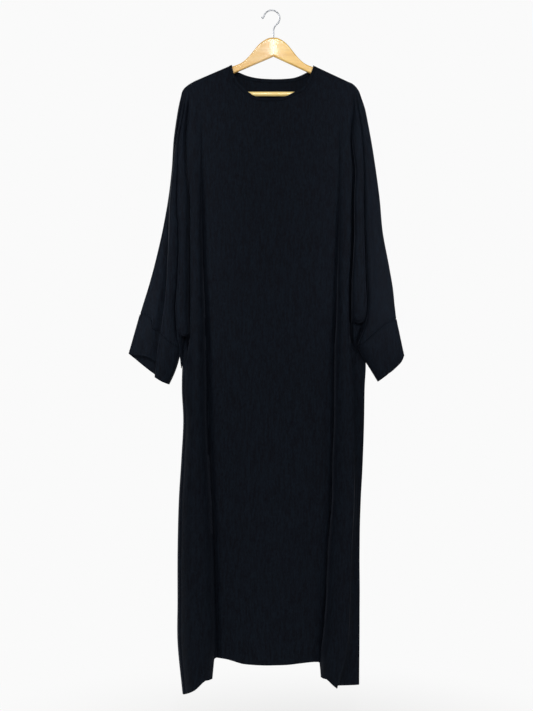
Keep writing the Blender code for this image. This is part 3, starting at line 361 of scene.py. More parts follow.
def read(table, at, column=1):
    """Value of a table at a place, between its rows, along a smooth monotone curve."""
    rows = sorted((row[0], row[column]) for row in table)
    if at <= rows[0][0]:
        return rows[0][1]
    if at >= rows[-1][0]:
        return rows[-1][1]
    spans = [(b[1] - a[1]) / (b[0] - a[0]) for a, b in zip(rows, rows[1:])]
    index = max(i for i in range(len(spans)) if rows[i][0] <= at)

    def slope(i):
        if i == 0:
            return spans[0]
        if i == len(rows) - 1:
            return spans[-1]
        before, after = spans[i - 1], spans[i]
        if before * after <= 0:
            return 0.0
        return 2 * before * after / (before + after)

    (x0, y0), (x1, y1) = rows[index], rows[index + 1]
    span = x1 - x0
    t = (at - x0) / span
    return ((1 + 2 * t) * (1 - t) ** 2 * y0 + t * (1 - t) ** 2 * span * slope(index)
            + t * t * (3 - 2 * t) * y1 - t * t * (1 - t) * span * slope(index + 1))


def ease(value):
    """From 0 to 1 with a soft start and end."""
    value = min(1.0, max(0.0, value))
    return value * value * (3 - 2 * value)


def mix(a, b, share):
    """The value a share of the way from one to the other."""
    return a + (b - a) * share


def sweep(x):
    """Depth of the contoured hanger's middle line."""
    return -ARM_SWEEP * (abs(x - HANGER_X) / ARM_SWEEP_AT) ** ARM_SWEEP_POWER


def place_on_arm(x):
    """Distance from the hanger's middle, on the scale of the outline table."""
    length = ARM_LEFT if x < HANGER_X else ARM_RIGHT
    return abs(x - HANGER_X) * ARM_LEFT / length


def wood_edge(x, column):
    """Height of the wood's top edge (1) or bottom edge (2)."""
    return read(ARM_OUTLINE, place_on_arm(x), column) - ARM_TILT * (x - HANGER_X)


def shoulder_line(x):
    """Height of the cloth along the shoulders: on the wood, then past its tips."""
    if x < SHOULDER_TIP_LEFT[-1][0]:
        return read(SHOULDER_TIP_LEFT, x)
    if x > SHOULDER_TIP_RIGHT[0][0]:
        return read(SHOULDER_TIP_RIGHT, x)
    return wood_edge(x, 1) + CLOTH_OFF_WOOD


def curve_points(points, counts, before=None, after=None):
    """Points of a centripetal curve through the given ones, with counts[i] steps from i to i + 1."""
    first = before or points[0] * 2 - points[1]
    last = after or points[-1] * 2 - points[-2]
    chain = [first] + list(points) + [last]
    result = [points[0]]
    for i, count in enumerate(counts):
        p0, p1, p2, p3 = chain[i:i + 4]
        d0 = max((p1 - p0).length, 1e-4) ** 0.5
        d1 = max((p2 - p1).length, 1e-4) ** 0.5
        d2 = max((p3 - p2).length, 1e-4) ** 0.5
        start = ((p1 - p0) / d0 - (p2 - p0) / (d0 + d1) + (p2 - p1) / d1) * d1
        end = ((p2 - p1) / d1 - (p3 - p1) / (d1 + d2) + (p3 - p2) / d2) * d1
        for step in range(1, count):
            t = step / count
            result.append(p1 * (2 * t ** 3 - 3 * t ** 2 + 1) + start * (t ** 3 - 2 * t ** 2 + t)
                          + p2 * (3 * t ** 2 - 2 * t ** 3) + end * (t ** 3 - t ** 2))
        result.append(p2)
    return result


def over_arm(x, side, angles=(0, 36, 68)):
    """Four points of the cloth over the arm's round top, from the shoulder line down one face."""
    top = shoulder_line(x)
    radius = ARM_THICK / 2 + CLOTH_OFF_WOOD
    reach = ARM_THICK / 2 + CLOTH_OFF_FACE
    points = []
    for degrees in angles:
        turn = math.radians(degrees)
        points.append(Vector((x, sweep(x) + side * reach * math.sin(turn),
                              top - radius * (1 - math.cos(turn)))))
    points.append(Vector((x, sweep(x) + side * reach, top - radius - 2.0)))
    return points


def over_neck_point(x, side):
    """The shoulder column at the neck point, where the binding turns from the front to the back."""
    outward = -1 if x < HANGER_X else 1
    points = []
    for reach, degrees in ((0.0, 0), (3.2, 24), (7.2, 62), (7.8, 90)):
        place = x + outward * reach
        points.append(over_arm(place, side, (degrees,))[0])
    points[-1].z -= 2.0
    return points


def shoulder_tops(places, side):
    """Tops of the shoulder columns next to the neck; the last of the places is the neck point."""
    tops = [over_arm(x, side) for x in places[:-2]]
    tops.append(over_arm(places[-2], side, (0, 22, 48)))
    tops.append(over_neck_point(places[-1], side))
    return tops


def levels_for(end):
    """Levels of a column that ends at its own height instead of the underarm."""
    fixed = [z for z in HANG_LEVELS if z >= CHEST_LEVEL]
    moving = [z for z in HANG_LEVELS if z < CHEST_LEVEL]
    share = (end - CHEST_LEVEL) / (UNDERARM_LEVEL - CHEST_LEVEL)
    return fixed + [CHEST_LEVEL + (z - CHEST_LEVEL) * share for z in moving] + [end]


def at_level(points, z):
    return Vector((read(points, z, 1), read(points, z, 2), z))


def below_top(top, lower):
    """The whole column: its four top points leaning to the first level, one point halfway, the rest."""
    start, first = top[0], lower[0]
    leaned = [start]
    for point in top[1:]:
        share = (start.z - point.z) / max(1.0, start.z - first.z)
        leaned.append(Vector((point.x + (first.x - start.x) * share, point.y, point.z)))
    last = leaned[-1]
    half = last.lerp(first, HALFWAY_SHARE)
    if last.z > HIGH_TOP:
        half = last.lerp(first, (last.z - HALFWAY_LEVEL) / (last.z - first.z))
    if leaned[2].y < leaned[0].y - 0.1:
        half.y = min(half.y, FRONT_CLEAR, sweep(half.x) - WOOD_CLEAR)
    elif leaned[2].y > leaned[0].y + 0.1:
        half.y = max(half.y, sweep(half.x) + WOOD_CLEAR)
    return leaned + [half] + lower


def sleeve_column(x, points, end, side=-1, mouth=None):
    """A fold of a sleeve, from the shoulder line to the cuff's seam and on to the mouth."""
    lower = [at_level(points, z) for z in levels_for(end)]
    column = below_top(over_arm(x, side), lower)
    if mouth is not None:
        column += [at_level(points, mix(end, mouth, share)) for share in CUFF_STEPS]
    return column


def body_column(top, points, hem):
    """A fold of the body, from its top to the hem."""
    lower = [at_level(points, z) for z in HANG_LEVELS + (UNDERARM_LEVEL,) + SKIRT_LEVELS]
    lower.append(at_level(points, hem))
    return below_top(top, lower)


def neck_top(table, index):
    """Four points at the neckline: its edge, and three below it, square to the edge."""
    x, z, y = table[index]
    side = -1 if table is NECK_FRONT else 1
    last = len(table) - 1
    outward = -1 if index < last / 2 else 1
    if index in (0, last):
        radius = ARM_THICK / 2 + CLOTH_OFF_WOOD
        reach = ARM_THICK / 2 + CLOTH_OFF_FACE
        a, b = (x + outward * reach_out for reach_out in NECK_POINT_REACH)
        return [Vector((x, y, z)),
                Vector((a, sweep(a) + side * reach * 0.93, shoulder_line(a) - radius * 0.66)),
                Vector((b, sweep(b) + side * reach, shoulder_line(b) - radius)),
                Vector((b + outward * 0.6, sweep(b) + side * reach, shoulder_line(b) - radius - 4.0))]
    before, after = table[index - 1], table[index + 1]
    along = Vector((after[0] - before[0], 0, after[1] - before[1])).normalized()
    away = Vector((along.z, 0, -along.x))
    if away.z > 0:
        away = -away
    if index in (1, last - 1):
        away = Vector((outward * 0.88, 0, -0.47))
    edge = Vector((x, y, z))
    outwards = away + Vector((0, side * NECK_LEAN, 0))
    return [edge] + [edge + outwards * reach for reach in NECK_REACHES]


def fold_column(name, x, points, cuff_ends):
    """One fold of the front: on the sleeve down to its cuff's mouth, beside it to the hem or the underarm."""
    if name in cuff_ends:
        seam, mouth = cuff_ends[name]
        return sleeve_column(x, points, seam, 0 if name == "seam" else -1, mouth)
    if points[-1][0] >= UNDERARM_LEVEL:
        return sleeve_column(x, points, UNDERARM_LEVEL)
    return body_column(over_arm(x, -1), points, points[-1][0])


def front_columns():
    """Columns of points of the front sheet, from the left outer seam to the right one."""
    columns = [fold_column(*fold, CUFF_LEFT_ENDS) for fold in LEFT_FOLDS]
    names = ["left_" + name for name, _, _ in LEFT_FOLDS]
    left = LEFT_FOLDS[-1][2]
    right = RIGHT_FOLDS[0][2]
    tops = shoulder_tops(SHOULDER_LEFT, -1)
    tops += [neck_top(NECK_FRONT, i) for i in range(len(NECK_FRONT))]
    tops += shoulder_tops(SHOULDER_RIGHT, -1)[::-1]
    count = len(tops)
    for i, top in enumerate(tops):
        share = (i + 1) / (count + 1)
        lower = []
        hem_x = mix(HEM_LEFT_X, HEM_RIGHT_X, share)
        for z in HANG_LEVELS + (UNDERARM_LEVEL,) + SKIRT_LEVELS + (read(HEM_FRONT, hem_x),):
            a, b = read(left, z, 1), read(right, z, 1)
            hanging = ease((SPREAD_FROM - z) / SPREAD_LONG)
            x = mix(top[0].x, mix(a, b, share), hanging) if z > HEM_NEAR else hem_x
            across = (x - a) / max(1.0, b - a)
            depth = mix(read(left, z, 2), read(FRONT_DEPTH, z), ease(across / LEFT_FOLD_SHARE))
            depth = mix(read(right, z, 2), depth, ease((1 - across) / RIGHT_FOLD_SHARE))
            lower.append(Vector((x, depth, z)))
        columns.append(below_top(top, lower))
        names.append("panel_%02d" % i)
    columns += [fold_column(*fold, CUFF_RIGHT_ENDS) for fold in RIGHT_FOLDS]
    names += ["right_" + name for name, _, _ in RIGHT_FOLDS]
    return columns, names


def back_depth(x, z, share):
    """Depth of the back: a calm sheet on the hanger that falls into soft folds."""
    deep = ease((BACK_FREE_FROM - z) / BACK_FREE_LONG)
    hump = math.sin(math.pi * min(1.0, max(0.0, share))) ** 0.7
    base = mix(mix(*BACK_DEPTH_TOP, hump), mix(*BACK_DEPTH_LOW, hump), deep)
    wave = sum(height * math.cos(x / wide + start + lean * z) for height, wide, start, lean in BACK_WAVES)
    height = BACK_WAVE_TOP + BACK_WAVE_MORE * deep
    return base + height * wave * min(1.0, 8 * share, 8 * (1 - share))


def seam_columns(names):
    """Numbers of the columns at the cuffs' and the skirt's inner edges, at the neck and at the end."""
    marks = {"in_l": "left_valley", "side_l": "left_ridge", "side_r": "right_pit", "mid_r": "right_ridge",
             "in_r": "right_valley", "neck_l": "panel_03", "neck_r": "panel_%02d" % (4 + len(NECK_FRONT)),
             "last": names[-1]}
    return {mark: names.index(name) for mark, name in marks.items()}


def back_top(c, x, marks):
    """Top points of a column of the back: at the neckline, beside it, or over the hanger's arm."""
    neck_l, neck_r = marks["neck_l"], marks["neck_r"]
    if neck_l < c < neck_r:
        return neck_top(NECK_BACK, c - neck_l - 1)
    if neck_l - len(SHOULDER_LEFT) < c <= neck_l:
        return shoulder_tops(SHOULDER_LEFT, 1)[c - neck_l - 1]
    if neck_r <= c < neck_r + len(SHOULDER_RIGHT):
        return shoulder_tops(SHOULDER_RIGHT, 1)[neck_r - c - 1]
    return over_arm(x, 1)


def back_hung(r, z, share_top, seams, ends, share, on_tube):
    """Point of the back above the underarm: a calm sheet at the top that falls between its two ends."""
    (left, right), (start, end) = seams, ends
    spread = mix(left.x, right.x, share_top)
    first_row, count = FOLD_ROWS
    x = mix(spread, mix(start.x, end.x, share), ease((r - first_row) / count))
    y = back_depth(x, z, (x - left.x) / (right.x - left.x))
    seam_y = left.y if x < 0 else right.y
    y = mix(seam_y, y, ease(min(x - left.x, right.x - x) / SIDE_ROUND) ** 0.5)
    if on_tube:
        first_row, count = TUBE_ROWS
        tube_y = mix(seam_y, end.y, share) + SLEEVE_BOW * math.sin(math.pi * share) ** 0.6
        y = mix(y, tube_y, ease((r - first_row) / count))
    free = ease((LEAVE_FROM - z) / LEAVE_LONG)
    return Vector((x, mix(max(y, sweep(x) + WOOD_CLEAR), y, free), z))


def back_underarm(share):
    """Point of the back at the underarm, between the two side seams."""
    x = mix(*BACK_UNDERARM_X, min(1.0, share / BACK_UNDERARM_TURN))
    y = back_depth(x, UNDERARM_LEVEL, mix(0.169, 0.827, share)) + 1.0
    y = mix(BACK_SEAM_Y, y, min(1.0, share * 9.0, (1.02 - share) * 9.0) ** 0.5)
    return Vector((x, y, UNDERARM_LEVEL))


def back_skirt(step, share):
    """Point of the back below the underarm; the step after the last level is the hem."""
    at_hem = step >= len(SKIRT_LEVELS)
    level = -1600.0 if at_hem else SKIRT_LEVELS[step]
    ridge = [points for name, _, points in LEFT_FOLDS if name == "ridge"][0]
    left, right = read(ridge, level), read(BACK_RIGHT, level)
    x = mix(left, right, min(1.0, share / BACK_TURN))
    if share > BACK_TURN:
        x = mix(right, right - BACK_TURN_IN, (share - BACK_TURN) / (1 - BACK_TURN))
    across = (x - left) / (right - left)
    y = back_depth(x, level, mix(0.17, 0.86, across)) + 2.0
    rim = min(1.0, across * 9.0, (1.02 - across) * 9.0)
    y = mix(BACK_SEAM_Y, y, max(0.0, rim) ** 0.5)
    return Vector((x, y, read(HEM_BACK, across) if at_hem else level))


def back_columns(front, names):
    """Columns of the back sheet, matched one to one with the front's and sharing its seams."""
    marks = seam_columns(names)
    in_l, side_l, side_r, mid_r, in_r, last = (
        marks[key] for key in ("in_l", "side_l", "side_r", "mid_r", "in_r", "last"))
    rows = max(len(column) for column in front)
    hang = TOP_POINTS + len(HANG_LEVELS)
    columns = []
    for c, source in enumerate(front):
        if c in (0, last):
            columns.append([point.copy() for point in source])
            continue
        on_sleeve = c <= in_l or c >= in_r
        at_inner_seam = c in (in_l, in_r)
        if c <= in_l:
            start, end, share, drop = front[0], front[in_l], c / in_l, 4.0
        elif c >= in_r:
            start, end, share, drop = front[last], front[in_r], (last - c) / (last - in_r), 9.0
        else:
            start, end, share, drop = front[in_l], front[in_r], (c - in_l) / (in_r - in_l), 0.0
        share_top = (source[0].x - front[0][0].x) / (front[last][0].x - front[0][0].x)
        share_skirt = (c - side_l) / (side_r - side_l)
        bow = math.sin(math.pi * share)
        column = []
        for r in range(TOP_POINTS, len(source) if on_sleeve or c == mid_r else rows):
            if r < hang:
                z = mix(start[r].z, end[r].z, share) if on_sleeve else HANG_LEVELS[r - TOP_POINTS]
                point = back_hung(r, z, share_top, (front[0][r], front[last][r]), (start[r], end[r]), share,
                                  on_sleeve and not at_inner_seam)
            elif on_sleeve and (r == hang or not at_inner_seam):
                point = start[r].lerp(end[r], share)
                point.y = mix(point.y, SLEEVE_BACK_Y if r == hang else CUFF_BACK_Y, bow ** 0.6)
                point.z -= bow * drop * (r - hang) / 3.0
            elif on_sleeve or c <= side_l or c in (side_r, mid_r):
                point = source[r].copy()
            elif r == hang:
                point = back_underarm(share_skirt)
            else:
                point = back_skirt(r - hang - 1, share_skirt)
            column.append(point)
        columns.append(below_top(back_top(c, source[0].x, marks), column))
    return columns


# Creases, listed one by one: sheet, depth, width to the left, width to the right, (x, z) along the crease
CREASES = (
    ("front", 12.0, 4.5, 7.0, ((-169, -400), (-168, -560), (-167, -664), (-164, -738), (-161, -911),
                               (-160, -1010), (-156, -1109), (-151, -1208), (-146, -1331), (-142, -1455),
                               (-138, -1640))),
    ("front", 9.0, 4.0, 8.0, ((-160, -760), (-157, -911), (-155, -1010), (-153, -1109), (-148, -1208),
                              (-142, -1331), (-138, -1455), (-134, -1640))),
    ("front", 6.0, 6.0, 3.5, ((163, -430), (162, -566), (160, -664), (159, -738), (156, -846), (155, -1010))),
    ("front", 13.0, 3.5, 3.0, ((158, -760), (156, -846), (154, -1010), (150, -1109), (148, -1208),
                               (140, -1331), (134, -1455), (125, -1560), (120, -1640))),
    ("front", 13.0, 3.0, 7.0, ((208, -890), (208, -1010), (206, -1109), (204, -1208), (199, -1331),
                               (195, -1455), (190, -1560), (180, -1630))),
    ("front", 16.0, 5.0, 5.0, ((-229, -792), (-222, -800), (-213, -810))),
    ("front", 13.0, 3.0, 3.0, ((-200, -790), (-202, -812), (-204, -830), (-208, -862))),
    ("front", 9.0, 2.5, 2.5, ((-218, -806), (-216, -830), (-210, -860))),
    ("front", 17.0, 5.0, 5.0, ((195, -768), (204, -771), (217, -771), (228, -768))),
    ("front", 14.0, 3.0, 3.0, ((198, -768), (195, -799), (203, -840), (203, -876))),
    ("front", 13.0, 3.0, 3.0, ((222, -772), (219, -792), (211, -815), (207, -844), (211, -872))),
    ("front", 5.0, 2.5, 2.5, ((208, -784), (206, -806), (203, -826))),
    ("front", -2.5, 6.0, 12.0, ((-290, -820), (-300, -840), (-312, -856))),
    ("front", 2.0, 10.0, 16.0, ((-262, -862), (-252, -880), (-246, -902))),
    ("back", 7.0, 26.0, 12.0, ((-196, -300), (-197, -420), (-199, -560), (-200, -700), (-203, -800))),
    ("back", 7.0, 12.0, 26.0, ((192, -290), (193, -430), (194, -570), (190, -700), (192, -800))),
    ("back", 5.0, 14.0, 22.0, ((-150, -420), (-152, -640), (-150, -860), (-146, -1100), (-140, -1340),
                               (-138, -1600))),
    ("back", 5.0, 22.0, 14.0, ((148, -420), (150, -640), (150, -860), (146, -1100), (134, -1340),
                               (124, -1600))),
)

# Creases: how many widths one reaches, share by which its depth swells, and millimetres from swell to swell
CREASE_REACH = 2.4
CREASE_UNEVEN = 0.25
CREASE_SWELL = 60.0

# Points on the flanks of the front's folds: share of the way between two columns and share of the depth,
# first above the underarm and then below it
FLANKS = {
    ("left_edge", "left_crest"): ((0.2, 0.7, 0.2, 0.5),),
    ("left_crest", "left_valley"): ((0.85, 0.38, 0.85, 0.45),),
    ("left_valley", "left_ridge"): ((0.04, 0.6, 0.04, 0.3),),
    ("left_ridge", "left_pit"): ((0.6, 0.07, 0.5, 0.85), (0.8, 0.34, 0.7, 0.92), (0.87, 0.88, 0.87, 0.96)),
    ("left_pit", "left_side"): ((0.08, 0.92, 0.1, 0.2),),
    ("left_side", "left_trough"): ((0.55, 0.2, 0.55, 0.22), (0.92, 0.55, 0.92, 0.6)),
    ("right_trough", "right_side"): ((0.08, 0.45, 0.08, 0.45), (0.5, 0.82, 0.5, 0.78)),
    ("right_side", "right_pit"): ((0.56, 0.1, 0.74, 0.08), (0.63, 0.86, 0.86, 0.8)),
    ("right_pit", "right_ridge"): ((0.06, 0.9, 0.06, 0.4),),
    ("right_ridge", "right_valley"): ((0.62, 0.2, 0.62, 0.4), (0.8, 0.9, 0.8, 0.8)),
    ("right_valley", "right_crest"): ((0.1, 0.7, 0.1, 0.4),),
}

# Rows over which the flanks turn at the underarm, begin below the shoulders, and step at the hem
FLANK_TURN_ROWS = 16
FLANK_TOP_ROW = 12
FLANK_TOP_ROWS = 24
HEM_STEP_ROWS = 12

# Where a fold of the skirt ends in a step at the hem: share of the way from one column's hem to the next
HEM_STEPS = {
    ("left_side", "left_trough"): 0.32,
    ("right_trough", "right_side"): 0.72,
}

# Folds that hang below the underarm: first and last column, drop; and how many rows hang with them
SAGS = (("in_l", "side_l", 52.0), ("side_r", "in_r", 50.0))
SAG_ROWS = 14

# Lips of cloth that droop over the hollow below them: sheet, x, z, width, height, depth they start at, drop
DROOPS = (
    ("front", -212.0, -790.0, 12.0, 24.0, -24.0, 13.0),
    ("front", 214.0, -752.0, 14.0, 20.0, -24.0, 11.0),
)
DROOP_SOFT = 14.0


def crease_share(point, path, left, right):
    """Share of a crease's depth at a point: full on its line, softer to the sides and towards its ends."""
    best, along, total = None, 0.0, 0.0
    for (x0, z0), (x1, z1) in zip(path, path[1:]):
        dx, dz = x1 - x0, z1 - z0
        length = math.hypot(dx, dz)
        t = ((point.x - x0) * dx + (point.z - z0) * dz) / (length * length)
        t = min(1.0, max(0.0, t))
        off_x, off_z = point.x - x0 - dx * t, point.z - z0 - dz * t
        distance = math.hypot(off_x, off_z)
        if best is None or distance < abs(best):
            side = (off_x * dz - off_z * dx)
            best = -distance if side > 0 else distance
            along = total + length * t
        total += length
    width = left if best < 0 else right
    place = along / total
    taper = math.sin(math.pi * min(1.0, max(0.0, 0.04 + 0.92 * place))) ** 0.6
    swell = noise.noise(Vector((path[0][0] / 31, along / CREASE_SWELL, path[0][1] / 47)))
    return math.exp(-(best / width) ** 2) * taper * (1.0 + CREASE_UNEVEN * swell)


def crease_lines():
    """The creases with the box that each one reaches."""
    lines = []
    for sheet, sink, left, right, path in CREASES:
        reach = CREASE_REACH * max(left, right)
        xs, zs = [p[0] for p in path], [p[1] for p in path]
        lines.append((sheet, min(xs) - reach, max(xs) + reach, min(zs) - reach, max(zs) + reach,
                      sink, left, right, path))
    return lines


CREASE_LINES = crease_lines()

# Stitches: height over the cloth, and distance from the cuff's mouth, the cuff's seam and the binding's seam
STITCH_LIFT = 0.1
MOUTH_STITCHES = 7.0
CUFF_STITCHES = 2.4
NECK_STITCHES = 1.3


# Steps of the grid from one level to the next: about 7 mm of cloth each, less at the top
ROW_STEPS = (2, 2, 2, 4, 6, 11, 11, 11, 14, 14, 11, 8, 4, 5, 6, 9, 10, 13, 13, 15, 15, 13, 12)


def column_steps(name, following):
    """Steps between two columns: about 5 mm of cloth each, less where a fold turns."""
    if name.startswith("panel") and following.startswith("panel"):
        return 3
    if name.startswith("panel") or following.startswith("panel"):
        return 4
    return 7


class Cloth:
    """The garment's middle surface as one grid of cells per sheet, joined along the seams."""

    def __init__(self):
        front, names = front_columns()
        back = back_columns(front, names)
        marks = seam_columns(names)
        steps = [column_steps(*pair) for pair in zip(names, names[1:])]
        starts = [sum(steps[:i]) for i in range(len(names))]
        self.mark = {key: starts[value] for key, value in marks.items()}
        upper = TOP_POINTS + len(HANG_LEVELS)
        self.under = sum(ROW_STEPS[:upper])
        self.hem = sum(ROW_STEPS[:upper + len(SKIRT_LEVELS) + 1])
        self.mouth = sum(ROW_STEPS[:upper + len(CUFF_STEPS)])
        self.edge = sum(ROW_STEPS[:2])
        front_lines = self.fine_lines(front, back, marks)
        back_lines = self.fine_lines(back, front, marks)
        self.points = {}
        self.lay_points("front", front_lines, back_lines, names, marks, steps, starts)
        self.lay_points("back", back_lines, front_lines, names, marks, steps, starts)
        self.cells = []
        self.lay_cells()

    def fine_lines(self, columns, other, marks):
        """The columns of a sheet with all their rows; over the shoulders they run on into the other sheet."""
        lines = []
        for c, column in enumerate(columns):
            over_shoulder = c not in (0, marks["last"]) and not marks["neck_l"] < c < marks["neck_r"]
            before = other[c][1] if over_shoulder else None
            lines.append(curve_points(column, ROW_STEPS[:len(column) - 1], before=before))
        return lines

    def lay_points(self, sheet, lines, other, names, marks, steps, starts):
        """All the points of a sheet: body and sleeves above the underarm, then the skirt and each cuff."""
        below = self.under + 1
        for a, b, rows in ((0, marks["last"], range(below)),
                           (marks["side_l"], marks["side_r"], range(below, self.hem + 1)),
                           (0, marks["in_l"], range(below, self.mouth + 1)),
                           (marks["in_r"], marks["last"], range(below, self.mouth + 1))):
            for v in rows:
                line, counts = [lines[c][v] for c in range(a, b + 1)], steps[a:b]
                if sheet == "front":
                    line, counts = self.flanked(line, counts, names[a:b + 1], v)
                row = curve_points(line, counts, before=other[a + 1][v], after=other[b - 1][v])
                for k, point in enumerate(row):
                    self.points.setdefault(self.key(sheet, starts[a] + k, v), point)

    def lay_cells(self):
        """The cells between the points, each with the name of its cut piece, facing outwards."""
        for sheet in ("front", "back"):
            for u in range(self.mark["last"]):
                for v in range(max(self.hem, self.mouth)):
                    piece = self.piece(sheet, u, v)
                    if piece is None:
                        continue
                    corners = [self.key(sheet, u, v), self.key(sheet, u, v + 1),
                               self.key(sheet, u + 1, v + 1), self.key(sheet, u + 1, v)]
                    if sheet == "back":
                        corners.reverse()
                    self.cells.append((piece, corners))

    def flanked(self, line, counts, names, v):
        """The row with more points on each fold's flank, so that folds are flat and hollows narrow."""
        low = ease((v - self.under + FLANK_TURN_ROWS / 2) / FLANK_TURN_ROWS)
        high = ease((v - FLANK_TOP_ROW) / FLANK_TOP_ROWS)
        hem = ease((v - self.hem + HEM_STEP_ROWS) / HEM_STEP_ROWS) if names[0] == "left_ridge" else 0.0
        points, steps = [line[0]], []
        for i, count in enumerate(counts):
            done = 0
            for share, depth, share_low, depth_low in FLANKS.get((names[i], names[i + 1]), ()):
                share = mix(share, share_low, low)
                depth = mix(max(0.05, share), mix(depth, depth_low, low), high)
                point = line[i].lerp(line[i + 1], share)
                point.y = mix(line[i].y, line[i + 1].y, depth)
                if (names[i], names[i + 1]) in HEM_STEPS:
                    height = mix(line[i].z, line[i + 1].z, HEM_STEPS[(names[i], names[i + 1])])
                    point.z = mix(point.z, height, hem)
                points.append(point)
                reached = min(count - 1, max(done + 2, round(count * share)))
                steps.append(reached - done)
                done = reached
            steps.append(count - done)
            points.append(line[i + 1])
        return points, steps

    def key(self, sheet, u, v):
        """Name of a point of the grid, which is the same on both sheets where they are sewn together."""
        m = self.mark
        under_arm = m["in_l"] <= u <= m["side_l"] or m["side_r"] <= u <= m["in_r"]
        at_side = u in (m["in_l"], m["side_l"], m["side_r"], m["in_r"])
        shared = (u in (0, m["last"]) or (v == 0 and not m["neck_l"] < u < m["neck_r"])
                  or (v == self.under and under_arm) or (v > self.under and at_side))
        return ("seam" if shared else sheet, u, v)

    def piece(self, sheet, u, v):
        """Name of the cut piece that a cell of the grid belongs to, or None past its edges."""
        m = self.mark
        if v >= self.under:
            if u < m["in_l"]:
                return "cuff_left" if v < self.mouth else None
            if u >= m["in_r"]:
                return "cuff_right" if v < self.mouth else None
            if m["side_l"] <= u < m["side_r"] and v < self.hem:
                return sheet + "_panel"
            return None
        if v < self.edge and m["neck_l"] - 1 <= u < m["neck_r"] + 1:
            return "neck_binding"
        return sheet + "_panel"

    def normals(self):
        """Outward direction of the cloth at every point."""
        total = {key: Vector((0, 0, 0)) for key in self.points}
        for _, corners in self.cells:
            a, b, c, d = (self.points[k] for k in corners)
            face = (c - a).cross(d - b)
            for k in corners:
                total[k] += face
        return {key: value.normalized() for key, value in total.items()}

    def wall(self, name, outer, inner):
        """Vertices and faces of one cut piece as a closed wall, its seam edges pulled back a little."""
        normals = self.turned
        owners = {}
        for piece, corners in self.cells:
            for i in range(4):
                owners.setdefault(frozenset((corners[i], corners[(i + 1) % 4])), set()).add(piece)
        mine = [corners for piece, corners in self.cells if piece == name]
        uses, turns = {}, {}
        for corners in mine:
            for i in range(4):
                turn = (corners[i], corners[(i + 1) % 4])
                edge = frozenset(turn)
                uses[edge] = uses.get(edge, 0) + 1
                turns[edge] = turn
        rim = [turns[edge] for edge, used in uses.items() if used == 1]
        seam_keys = {k for edge, used in uses.items() if len(owners[edge]) > 1 for k in edge}
        pull = {k: Vector((0, 0, 0)) for k in seam_keys}
        for corners in mine:
            middle = sum((self.points[k] for k in corners), Vector((0, 0, 0))) / 4
            for k in corners:
                if k in pull:
                    pull[k] += (middle - self.points[k]).normalized()
        keys = sorted({k for corners in mine for k in corners})
        index = {k: i for i, k in enumerate(keys)}
        count = len(keys)
        vertices = []
        for distance in (outer, -inner):
            for k in keys:
                point = self.points[k] + normals[k] * distance
                if k in pull:
                    flat = pull[k] - normals[k] * pull[k].dot(normals[k])
                    at_neck = self.mark["neck_l"] - 1 <= k[1] <= self.mark["neck_r"] + 1
                    sink = SEAM_SINK if at_neck and k[2] <= self.edge else CUFF_SINK
                    point = point + flat.normalized() * SEAM_PULL - normals[k] * sink
                vertices.append(point * MM)
        faces = []
        for corners in mine:
            faces.append([index[k] for k in corners])
            faces.append([index[k] + count for k in reversed(corners)])
        for a, b in rim:
            i, j = index[a], index[b]
            faces.append([j, i, i + count, j + count])
        return vertices, faces

    def line(self, sheet, first, last, row, distance, lift):
        """Points on the outside of a sheet, a set distance along the cloth below or above a row."""
        points = []
        step = 1 if distance > 0 else -1
        for u in range(first, last + 1):
            gone = 0.0
            near, far = self.key(sheet, u, row), self.key(sheet, u, row + step)
            while far in self.points:
                part = (self.points[far] - self.points[near]).length
                if gone + part >= abs(distance):
                    share = (abs(distance) - gone) / part
                    up = self.turned[near].lerp(self.turned[far], share)
                    points.append(self.points[near].lerp(self.points[far], share) + up.normalized() * lift)
                    break
                gone += part
                near, far = far, self.key(sheet, u, far[2] + step)
        return points

    def shape(self, depth, ripple):
        """Lay the creases, the drooping lips and the slow ripples on the even surface."""
        normals = self.normals()
        moved = {}
        for key, point in self.points.items():
            sheet, u, v = key
            for first, last, drop in SAGS:
                if self.mark[first] < u < self.mark[last] and self.under - SAG_ROWS < v <= self.under:
                    share = (u - self.mark[first]) / (self.mark[last] - self.mark[first])
                    low = ease((v - self.under + SAG_ROWS) / SAG_ROWS)
                    sag = drop * math.sin(math.pi * share) ** 0.8 * low
                    point = point - Vector((0, 0, sag))
                    moved[key] = point
            if sheet == "seam":
                continue
            keep = self.from_seam(sheet, u, v, point)
            wide, tall = BROAD_RIPPLE
            push = ripple * noise.noise(Vector((point.x / wide, point.z / tall, RIPPLE_SEEDS[sheet])))
            wide, tall = SMALL_RIPPLE
            small = noise.noise(Vector((point.x / wide, point.z / tall, RIPPLE_SEEDS["small"])))
            push += ripple * 0.5 * small
            inward = 0.0
            for place, x_low, x_high, z_low, z_high, sink, left, right, path in CREASE_LINES:
                if place != sheet or not (x_low < point.x < x_high and z_low < point.z < z_high):
                    continue
                inward += depth * sink * crease_share(point, path, left, right)
            shift = normals[key] * push * keep
            shift.y += inward * keep * (1.0 if sheet == "front" else -1.0)
            for place, x, z, wide, tall, near, drop in DROOPS:
                if place == sheet and point.y < near:
                    share = math.exp(-((point.x - x) / wide) ** 2 - ((point.z - z) / tall) ** 2)
                    shift.z -= drop * share * ease((near - point.y) / DROOP_SOFT)
            moved[key] = point + shift
        self.points.update(moved)
        self.narrow_seams(moved)
        self.lift_shoulders()
        self.part_sheets()
        self.turned = self.normals()

    def narrow_seams(self, moved):
        """Bring the rows beside a cuff's seam close to it, so that the seam is a narrow groove."""
        for key, point in moved.items():
            sheet, u, v = key
            seam = self.key(sheet, u, self.under)
            on_sleeve = not self.mark["in_l"] < u < self.mark["in_r"]
            if abs(v - self.under) == 1 and on_sleeve and seam in self.points:
                self.points[key] = self.points[seam].lerp(point, SEAM_ROW_SHARE)

